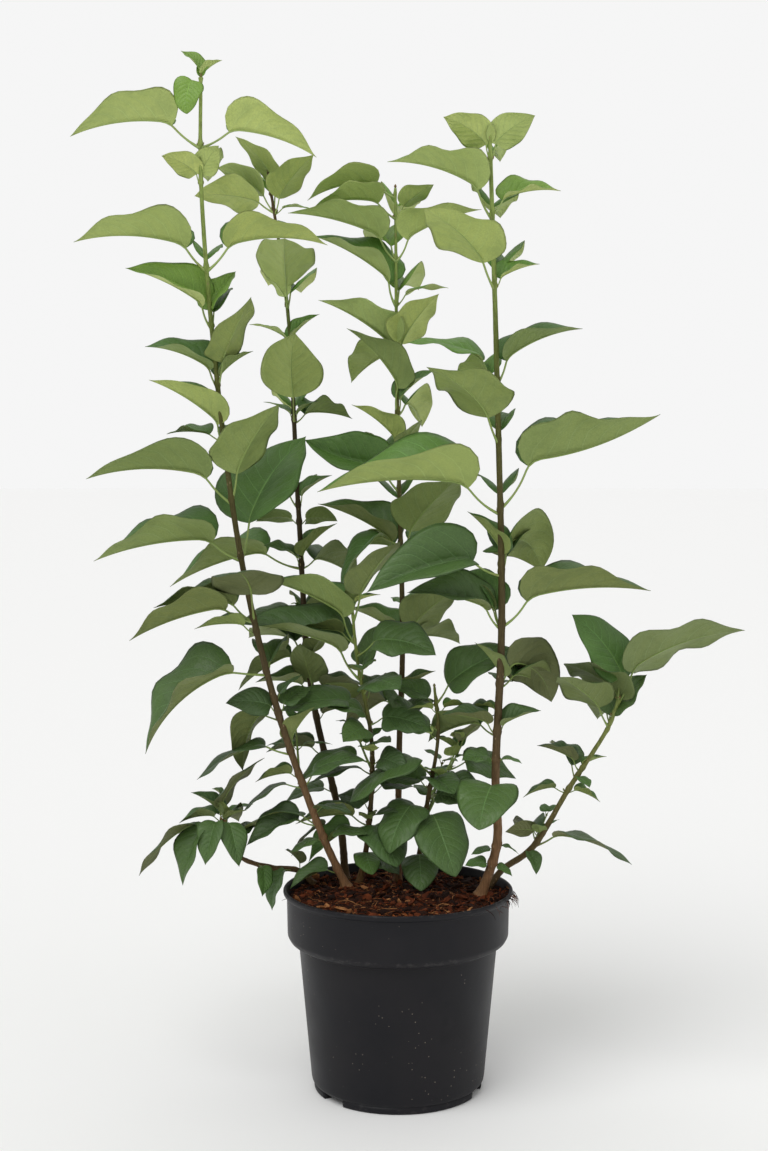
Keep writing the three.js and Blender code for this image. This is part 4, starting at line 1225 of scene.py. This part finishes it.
def leaf_skins(leaf):
    """Points of both skins. From the midrib outwards the blade's angle to the flat goes from
    fold + 8 to fold - 28 degrees, and the height and width are the exact sums of its sine and
    cosine. A slow wave lifts and drops the margin, out of step on the two sides."""
    shares = leaf.stalk + (1 - leaf.stalk) * ALONG
    places, upper, length = leaf_line(leaf, shares)
    blade = length * (1 - leaf.stalk)
    ahead, normal, right = leaf_frames(leaf, places, upper, ALONG)
    half = half_width(leaf, ALONG, blade)[:, None]
    edge = np.abs(ACROSS)[None, :]
    side = np.sign(ACROSS)[None, :]
    fold = (leaf.fold + leaf.uneven * side) * (1 - 0.4 * ALONG ** 2)[:, None]
    first, last = np.radians(fold + 8), np.radians(fold - 28)
    change = last - first
    wide = (np.sin(first + change * edge) - np.sin(first)) / change * half
    high = (np.cos(first) - np.cos(first + change * edge)) / change * half
    swing = np.sin(leaf.beats * ALONG[:, None] + leaf.phase + 1.9 * side)
    high = high + leaf.wave * half * edge ** 1.7 * swing
    back = drawn_back(ALONG[:, None], half, edge, leaf.lobe)
    sheet = (places[:, None] + (side * wide)[..., None] * right[:, None]
             + high[..., None] * normal[:, None] - back[..., None] * ahead[:, None])
    lift = unit(np.cross(np.gradient(sheet, axis=1), np.gradient(sheet, axis=0)))
    thick = HALF_THICKNESS * min(1, 0.5 + blade / 0.1) * (1 - edge ** 4)[..., None]
    upper_skin, lower_skin = sheet + lift * thick, sheet - lift * thick
    return np.concatenate([sheet[[0, -1], MIDRIB], upper_skin[1:-1].reshape(-1, 3),
                           lower_skin[1:-1, 1:-1].reshape(-1, 3)])


test_leaf = Leaf(np.random.default_rng(1), np.zeros(3), 0, 10, 0.1, KEEL)
print("a leaf has", len(leaf_skins(test_leaf)), "points, and its blade is",
      round(float(2 * half_width(test_leaf, ALONG, 0.08).max()), 3), "m wide on 0.08 m")

# %% [markdown]
# ## A flat plan for each leaf
# Each skin also gets a place on a flat plan, in its own outline, so that veins can be drawn in
# leaf directions and the finish can be baked without two leaves sharing a spot. The plan is a
# sheet of equal cells, two for each leaf.


# %% Places on the maps
def leaf_plan(leaf, corners, cell, grid):
    """Plan places of face corners: x across the width, y along the length with the lobes drawn
    back, shrunk into one cell of a grid of (columns, rows)."""
    along, across = ALONG[corners[..., 0]], ACROSS[corners[..., 1]]
    half = half_width(leaf, along, 1.0)
    x = across * half
    y = along - drawn_back(along, half, across, leaf.lobe)
    wide, high = grid
    fit = 0.96 / max(1.02 * wide, 1.12 * high)
    return np.stack([(cell % wide + 0.5) / wide + x * fit,
                     (cell // wide + 0.5) / high + (y - 0.46) * fit], -1)


def leaf_places(leaf, corners, cell, grid):
    """The three maps of a leaf's corners: (across 0 to 1, along 0 to 1) for the veins, the leaf's
    own two random numbers, and its place on the plan."""
    along = ALONG[corners[..., 0]]
    pointed = np.isin(corners[..., 0], (0, LEAF_ROWS - 1))
    across = np.where(pointed, 0.0, ACROSS[corners[..., 1]])
    veins = np.stack([(across + 1) / 2, along], -1)
    own = np.broadcast_to(leaf.own, veins.shape)
    return np.stack([veins, own, leaf_plan(leaf, corners, cell, grid)])


def add_leaf(pile, leaf, number, total, wears):
    """Puts a leaf in a pile. Its upper skin wears the first material and its lower the second."""
    wide = math.ceil(math.sqrt(2 * total * 1.1))
    grid = (wide, math.ceil(2 * total / wide))
    upper, lower, thirds = TEMPLATE
    faces, places = [], []
    for skin, (numbers, corners) in enumerate(((upper, thirds), (lower, thirds[:, ::-1]))):
        faces.append(numbers[corners[..., 0], corners[..., 1]])
        places.append(leaf_places(leaf, corners, 2 * number + skin, grid))
    pile.add(leaf_skins(leaf), {3: np.concatenate(faces)}, np.repeat(wears, len(thirds)),
             {3: np.concatenate(places, axis=1)})


print("faces of one leaf:", 2 * len(TEMPLATE[2]))

# %% [markdown]
# ## Leaf finishes
# The upper side is a waxy green with sunken pale veins, and the lower side is matt and greyer,
# with veins that stand out. High leaves are younger and yellow-green, and paler still as painted
# light, the brightness that falls on the top of the bush; low ones are older, deeper and a little
# blue, and darker as painted shade. So there are five tones, dealt out leaf by leaf by height,
# and one group draws the veins of all of them from the leaf's own directions.

# %% The vein pattern
veins_group, given, gives = group(
    "leaf_veins", {"Across": 0.5, "Along": 0.5, "Place": (0, 0, 0)},
    {"Rib": VALUE, "Veins": VALUE, "Net": VALUE, "Rim": VALUE, "Mottle": VALUE,
     "Pillow": VALUE, "Grain": VALUE})
# Eight veins leave the midrib on each side, leaning forward more and more towards the rim. phase
# is 0 on a vein and 0.5 half way to the next.
SIDE_VEINS = 8.0
tree = veins_group
edge = maths(tree, "ABSOLUTE", maths(tree, "MULTIPLY_ADD", given["Across"], 2.0, -1.0))
wobble = maths(tree, "MULTIPLY_ADD", noise(tree, given["Place"], 55.0, 1.0), 0.05, -0.025)
lean = maths(tree, "MULTIPLY_ADD", times(tree, edge, edge), 0.13, times(tree, edge, 0.2))
start = maths(tree, "ADD", maths(tree, "SUBTRACT", given["Along"], lean), wobble)
beat = maths(tree, "FRACT", maths(tree, "MULTIPLY_ADD", start, SIDE_VEINS, 0.35))
phase = maths(tree, "ABSOLUTE", maths(tree, "SUBTRACT", beat, 0.5))
thin = maths(tree, "MULTIPLY_ADD", edge, -0.05, 0.075)
inside = times(tree, ranged(tree, start, -0.02, 0.03), ranged(tree, edge, 0.8, 0.97, 1.0, 0.0))
rib_width = maths(tree, "MULTIPLY_ADD", given["Along"], -0.028, 0.05)
mesh_cells = add_node(tree, "ShaderNodeTexVoronoi", {"Vector": given["Place"], "Scale": 420.0},
                      feature="DISTANCE_TO_EDGE")
for title, value in (
        ("Rib", ranged(tree, edge, 0.0, rib_width, 1.0, 0.0)),
        ("Veins", times(tree, ranged(tree, phase, 0.0, thin, 1.0, 0.0), inside)),
        ("Net", ranged(tree, mesh_cells.outputs["Distance"], 0.0, 0.09, 1.0, 0.0)),
        ("Rim", ranged(tree, edge, 0.965, 1.0)),
        ("Mottle", noise(tree, given["Place"], 48.0, 3.0, 0.65)),
        ("Pillow", times(tree, ranged(tree, phase, 0.0, 0.42), inside)),
        ("Grain", noise(tree, given["Place"], 700.0, 2.0, 0.7))):
    tree.links.new(value, gives[title])
print("vein group nodes:", len(veins_group.nodes))


# %% One finish for each side and tone
def leaf_finish(name, flesh, vein, upper, roughness):
    """Flesh moved a little by the leaf's own numbers and by mottling, with paler veins over it."""
    made, tree, shader, place = new_material(name)
    shape, own = (axes(tree, add_node(tree, "ShaderNodeUVMap", uv_map=title).outputs["UV"])
                  for title in ("leaf", "own"))
    drawn = place_group(tree, veins_group, Across=shape["X"], Along=shape["Y"], Place=place)
    dark = tuple(0.72 * c for c in flesh[:3]) + (1.0,)
    warm = (min(1, flesh[0] * 1.28), flesh[1] * 1.1, flesh[2] * 0.9, 1.0)
    colour = layered(tree, flesh,
                     (times(tree, own["X"], 0.55), dark),
                     (times(tree, own["Y"], 0.6), warm),
                     (ranged(tree, drawn["Mottle"], 0.45, 0.68, 0.0, 0.5), dark),
                     (ranged(tree, drawn["Grain"], 0.4, 0.62, 0.0, 0.4), dark),
                     (times(tree, drawn["Pillow"], 0.1), warm),
                     (times(tree, drawn["Net"], 0.16 if upper else 0.14), vein),
                     (times(tree, drawn["Veins"], 0.5 if upper else 0.4), vein),
                     (times(tree, drawn["Rib"], 0.85 if upper else 0.6), vein),
                     (times(tree, drawn["Rim"], 0.45), vein))
    uneven = ranged(tree, drawn["Mottle"], 0.3, 0.7, roughness - 0.05, roughness + 0.06)
    surface(tree, shader, colour, uneven, 0.4 if upper else 0.25)
    sign = -1.0 if upper else 1.0
    height = maths(tree, "MULTIPLY_ADD", drawn["Grain"], 0.35, times(tree, drawn["Mottle"], 5.5))
    for part, depth in (("Veins", 0.6), ("Net", 0.3), ("Rib", 0.9), ("Pillow", -0.7)):
        height = maths(tree, "MULTIPLY_ADD", drawn[part], depth * sign, height)
    raise_relief(tree, shader, height, 0.35 * MM, 0.9)
    return made


# Each tone's upper and lower flesh, as they look on screen. Besides age, the higher tones hold
# painted light and the lower ones painted shade.
TONES_BY_AGE_AND_LIGHT = {
    "young": ((118, 156, 66), (183, 203, 124)),
    "high": ((94, 136, 56), (175, 195, 116)),
    "mid": ((80, 117, 54), (141, 161, 95)),
    "low": ((74, 104, 54), (125, 141, 86)),
    "deep": ((66, 92, 50), (113, 122, 80)),
}
finishes = []
for tone, (above, below) in TONES_BY_AGE_AND_LIGHT.items():
    paler_above = rgb(*(min(255, int(c * 1.2 + 18)) for c in above))
    paler_below = rgb(*(min(255, c + 20) for c in below))
    finishes.append(leaf_finish("leaf_upper_" + tone, rgb(*above), paler_above, True, 0.42))
    finishes.append(leaf_finish("leaf_under_" + tone, rgb(*below), paler_below, False, 0.6))
print("leaf finishes:", len(finishes))


# %% Grow the leaves of each mass
SMALL_LEAF = 36 * MM


def tone_of(leaf, rng):
    """Which of the five tones a leaf wears: the higher its node, the younger and the paler, with
    painted light high up and painted shade low down, give or take one. A small leaf is younger
    still."""
    # Painted light and shade: a higher node gives a paler tone, as if lit, and a lower one a darker
    # tone, as if shaded, on top of the leaves' age.
    level = np.interp(leaf.start[2], (0.22, 0.40, 0.55, 0.70, 0.84), (3.6, 3.1, 2.1, 1.1, 0.3))
    level += rng.normal(0, 0.5) - 1.3 * (leaf.reach < SMALL_LEAF)
    return int(np.clip(round(level), 0, 4))


rng = np.random.default_rng(21)
for mass, leaves in grown.items():
    pile = Pile("leaf", "own", "OFBake")
    for number, leaf in enumerate(leaves):
        tone = tone_of(leaf, rng)
        add_leaf(pile, leaf, number, len(leaves), (2 * tone, 2 * tone + 1))
    piece = pile.build(mass + "_leaves", finishes)
    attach(piece, "root")
    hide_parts(mass)
masses = [made for made in bpy.data.objects if made.name.endswith("_leaves")]
print("leaf faces:", sum(len(made.data.polygons) for made in masses))

# %% [markdown]
# ## Stalks, midribs, twigs and buds
# A stalk swells where it clasps the cane, slims towards the blade and runs on under it as a
# raised midrib that fades before the tip. Each pair of stalks holds a small pointed bud.


# %% Stalks
STALK, BUD = 0, 1


def add_stalk(pile, leaf):
    """A tube along the leaf's line: stalk first, then the midrib just under the blade."""
    shares = np.concatenate([np.linspace(0, leaf.stalk, 12)[:-1], np.linspace(leaf.stalk, 0.9, 17)])
    places, upper, length = leaf_line(leaf, shares)
    along = np.clip((shares - leaf.stalk) / (1 - leaf.stalk), 0, 1)
    ahead, normal, right = leaf_frames(leaf, places, upper, along)
    size = min(1.0, (length / 0.12) ** 0.6)
    thick = np.interp(shares, (0, 0.04, 0.1, leaf.stalk, leaf.stalk + 0.1, 0.9),
                      np.array((1.7, 1.35, 1.0, 0.95, 0.75, 0.12)) * MM * size)
    sunk = places - normal * (0.45 * thick * (along > 0))[:, None]
    a = math.radians(leaf.azimuth)
    pile.add(*tube(sunk, thick, 6, (math.sin(a), -math.cos(a), 0.0)), STALK)


def add_bud(pile, at, ahead, length, radius):
    """A pointed, slightly fat spindle: radius * sin(0.97 pi t)^0.6 * (1 - 0.8 t^3)."""
    t = np.linspace(0.06, 1, 8)
    path = at + np.outer(t * length, ahead)
    radii = radius * np.sin(np.pi * t * 0.97) ** 0.6 * (1 - 0.8 * t ** 3)
    pile.add(*tube(path, radii, 8, (0.1, 1, 0.1)), BUD)


BUD_BEARING = 40 * MM
rng = np.random.default_rng(33)
stalk_piles = {name: Pile() for name in STEMS}
for mass, leaves in grown.items():
    name = STEM_OF[mass]
    for leaf in leaves:
        add_stalk(stalk_piles[name], leaf)
        outward = polar(1, math.radians(leaf.azimuth), 0.0)
        if leaf.reach > BUD_BEARING:
            add_bud(stalk_piles[name], leaf.start + outward * 1.6 * MM + (0, 0, 1.6 * MM),
                    unit(outward * 0.45 + (0, 0, 1)),
                    rng.uniform(2.6, 4.6) * MM, rng.uniform(0.8, 1.2) * MM)
for name, stem in stems.items():
    pile = stalk_piles[name]
    for path in twig_paths[name]:
        pile.add(*tube(path, np.linspace(1.35, 0.8, len(path)) * MM, 8), STALK)
        add_bud(pile, path[-1], unit(path[-1] - path[-2]), 4 * MM, 1.2 * MM)
    end = stem.path[-1]
    add_bud(pile, end, unit(end - stem.path[-4]), 4.5 * MM, 1.5 * MM)


# %% Stalk and bud finishes
def height_ramp(tree, place, stops):
    """A colour that changes with height: stops are (height in metres, colour)."""
    low, high = stops[0][0], stops[-1][0]
    unsettled = maths(tree, "MULTIPLY_ADD", noise(tree, place, 30.0, 2.0), 0.05, -0.025)
    height = maths(tree, "ADD", axes(tree, place)["Z"], unsettled)
    share = ranged(tree, height, low, high, soft=False)
    made = add_node(tree, "ShaderNodeValToRGB", {"Fac": share})
    while len(made.color_ramp.elements) < len(stops):
        made.color_ramp.elements.new(0.5)
    for element, (level, colour) in zip(made.color_ramp.elements, stops):
        element.position = (level - low) / (high - low)
        element.color = colour
    return made.outputs["Color"]


stalk_green, tree, shader, place = new_material("stalk_green")
tone = height_ramp(tree, place, [
    (0.2, rgb(112, 134, 66)), (0.5, rgb(136, 158, 82)), (0.9, rgb(156, 176, 102))])
blush = ranged(tree, noise(tree, place, 70.0, 3.0), 0.5, 0.72, 0.0, 0.35)
surface(tree, shader, blended(tree, blush, tone, rgb(132, 116, 70)), 0.48)
raise_relief(tree, shader, noise(tree, place, 900.0, 3.0), 0.15 * MM)
bud_scale, tree, shader, place = new_material("bud_scale")
tone = place_group(tree, grain_group, Place=place, Base=rgb(112, 122, 60), Other=rgb(118, 84, 50),
                   Scale=160.0, Fine=1400.0)
surface(tree, shader, tone["Colour"], 0.5)
raise_relief(tree, shader, tone["Height"], 0.2 * MM)
for name, pile in stalk_piles.items():
    piece = pile.build(name + "_stalks", [stalk_green, bud_scale])
    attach(piece, "root")
    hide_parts(*[mass for mass in LEAVES if STEM_OF[mass] == name])
print("stalk points:", sum(pile.count for pile in stalk_piles.values()))

# %% [markdown]
# ## Bark
# A cane is brown and corky at the foot, darker and smoother above, and green at the growing end.
# It swells at each node, where the leaf scars sit. The swelling and the ridges are in the mesh;
# pores and fine streaks are relief in the finish.

# %% Cane meshes
CANE_SIDES = 28
# A node stands out so far, over such a height, and the corky foot fades over such a length.
NODE_SWELL, NODE_HEIGHT, CORKY_REACH = 0.85 * MM, 2.6 * MM, 60 * MM


def bark_radii(stem):
    """Radius for each ring and side: taper and flare, plus a swelling at each node that is
    strongest on the leaf's side, plus long ridges that are deepest at the foot."""
    turn = full_turn(CANE_SIDES)
    along = stem.along[:, None]
    z = stem.path[:, 2][:, None]
    swell = np.zeros((len(stem.path), CANE_SIDES))
    for height, azimuth in stem.nodes:
        near = NODE_SWELL * np.exp(-((z - height - 0.5 * MM) / NODE_HEIGHT) ** 2)
        swell = np.maximum(swell, near * (0.35 + 0.65 * np.clip(np.cos(turn - azimuth), 0, 1) ** 2))
    foot = np.exp(-along / CORKY_REACH)
    ridges = lumps(5 + 2.4 * np.cos(turn) + along / (34 * MM), 5 + 2.4 * np.sin(turn), 1.0, 51)
    knobs = lumps(9 + 1.2 * np.cos(turn) + along / (5 * MM),
                  9 + 1.2 * np.sin(turn) + along / (9 * MM), 1.0, 52)
    rough = ridges * (0.09 + 0.34 * foot) + knobs * (0.06 + 0.4 * foot)
    return stem.radius[:, None] + swell + rough * MM


def bark_finish(name, stops, roughness):
    """Colour by height, streaked along the cane, with pale pores and a corky relief."""
    made, tree, shader, place = new_material(name)
    streak = noise(tree, scaled(tree, place, (1, 1, 0.1)), 900.0, 3.0, 0.6)
    pores = place_group(tree, specks_group, Place=scaled(tree, place, (1, 1, 0.45)),
                        Scale=430.0, Size=0.26, Share=0.16)["Mask"]
    colour = layered(tree, height_ramp(tree, place, stops),
                     (ranged(tree, streak, 0.35, 0.7, 0.0, 0.45), rgb(50, 38, 24)),
                     (times(tree, pores, 0.6), rgb(152, 132, 100)))
    uneven = ranged(tree, streak, 0.3, 0.7, roughness - 0.08, roughness + 0.1)
    surface(tree, shader, colour, uneven, 0.2)
    relief = maths(tree, "MULTIPLY_ADD", pores, 0.8, times(tree, streak, 0.9))
    raise_relief(tree, shader, relief, 0.45 * MM, 0.9)
    return made


BARKS = {
    "cane": bark_finish("cane_bark", [
        (0.18, rgb(134, 98, 66)), (0.27, rgb(126, 96, 66)), (0.34, rgb(90, 74, 48)),
        (0.42, rgb(80, 69, 42)), (0.56, rgb(84, 78, 42)), (0.67, rgb(102, 106, 52)),
        (0.76, rgb(136, 156, 80)), (0.93, rgb(158, 178, 98))], 0.62),
    "dark": bark_finish("dark_bark", [
        (0.18, rgb(100, 78, 50)), (0.30, rgb(70, 56, 35)), (0.66, rgb(64, 54, 34)),
        (0.72, rgb(104, 116, 58)), (0.80, rgb(100, 112, 56)), (0.84, rgb(84, 70, 44)),
        (0.90, rgb(84, 70, 44))], 0.62),
    "shoot": bark_finish("shoot_bark", [
        (0.18, rgb(124, 92, 56)), (0.25, rgb(88, 72, 42)), (0.34, rgb(84, 78, 42)),
        (0.40, rgb(116, 130, 60)), (0.46, rgb(138, 156, 80))], 0.56),
    "side": bark_finish("side_bark", [
        (0.18, rgb(92, 72, 46)), (0.24, rgb(100, 88, 52)), (0.31, rgb(114, 118, 62)),
        (0.38, rgb(136, 152, 80))], 0.56),
}
for name, stem in stems.items():
    pile = Pile()
    pile.add(*tube(stem.path, bark_radii(stem), CANE_SIDES))
    piece = pile.build(name + "_bark", [BARKS[stem.bark]])
    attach(piece, "root")
    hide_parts(name)
    print(name, len(piece.data.polygons), "faces")

# %% [markdown]
# ## Light, floor and camera
# Large soft boxes light the bush: a strong one high at the front left, weaker ones at the right
# and behind, and an even fill from the world. The world is brighter where it is only seen, as a
# white backdrop is, so the surround stays pale without washing the leaves out.

# %% Stage
SOFT_FILL, BACKDROP = 0.45, 0.92
FLOOR_SEGMENTS = 96
world = bpy.data.worlds.new("soft_studio")
world.use_nodes = True
tree = world.node_tree
seen = tree.nodes.new("ShaderNodeLightPath").outputs["Is Camera Ray"]
tree.links.new(maths(tree, "MULTIPLY_ADD", seen, BACKDROP - SOFT_FILL, SOFT_FILL),
               tree.nodes["Background"].inputs["Strength"])
tree.nodes["Background"].inputs["Color"].default_value = (1.0, 1.0, 1.0, 1.0)
bpy.context.scene.world = world
bpy.context.scene.view_settings.view_transform = "Standard"


def soft_sun(name, azimuth, height, spread, strength):
    """A broad, distant lamp: from a compass direction, at a height above the horizon, its disc so
    many degrees across."""
    data = bpy.data.lights.new(name, "SUN")
    data.angle, data.energy = math.radians(spread), strength
    lamp = bpy.data.objects.new(name, data)
    bpy.context.scene.collection.objects.link(lamp)
    lamp.rotation_euler = (math.radians(90 - height), 0.0, math.radians(azimuth + 90))


soft_sun("key_box", -125, 52, 50, 1.6)
soft_sun("fill_box", -30, 30, 70, 0.35)
soft_sun("back_box", 80, 60, 60, 0.4)
floor_pile = Pile()
floor_profile = np.array([(0.01, 0.0), (1.0, 0.0), (4.0, 0.0), (60.0, 0.0)])
floor_pile.add(turned(floor_profile[::-1], full_turn(FLOOR_SEGMENTS)),
               {4: grid_faces(len(floor_profile), FLOOR_SEGMENTS, True)})
floor_finish, tree, shader, place = new_material("pale_floor")
surface(tree, shader, rgb(246, 246, 245), 0.8)
floor = floor_pile.build("floor", [floor_finish])

# %% Camera
EYE = (-0.0134, -1.600, 0.590)
PITCH = math.radians(86.5)
SENSOR, LENS = 36.0, 52.86
data = bpy.data.cameras.new("eye")
data.sensor_width, data.lens = SENSOR, LENS
camera = bpy.data.objects.new("eye", data)
bpy.context.scene.collection.objects.link(camera)
camera.location = EYE
camera.rotation_euler = (PITCH, 0.0, 0.0)
bpy.context.scene.camera = camera
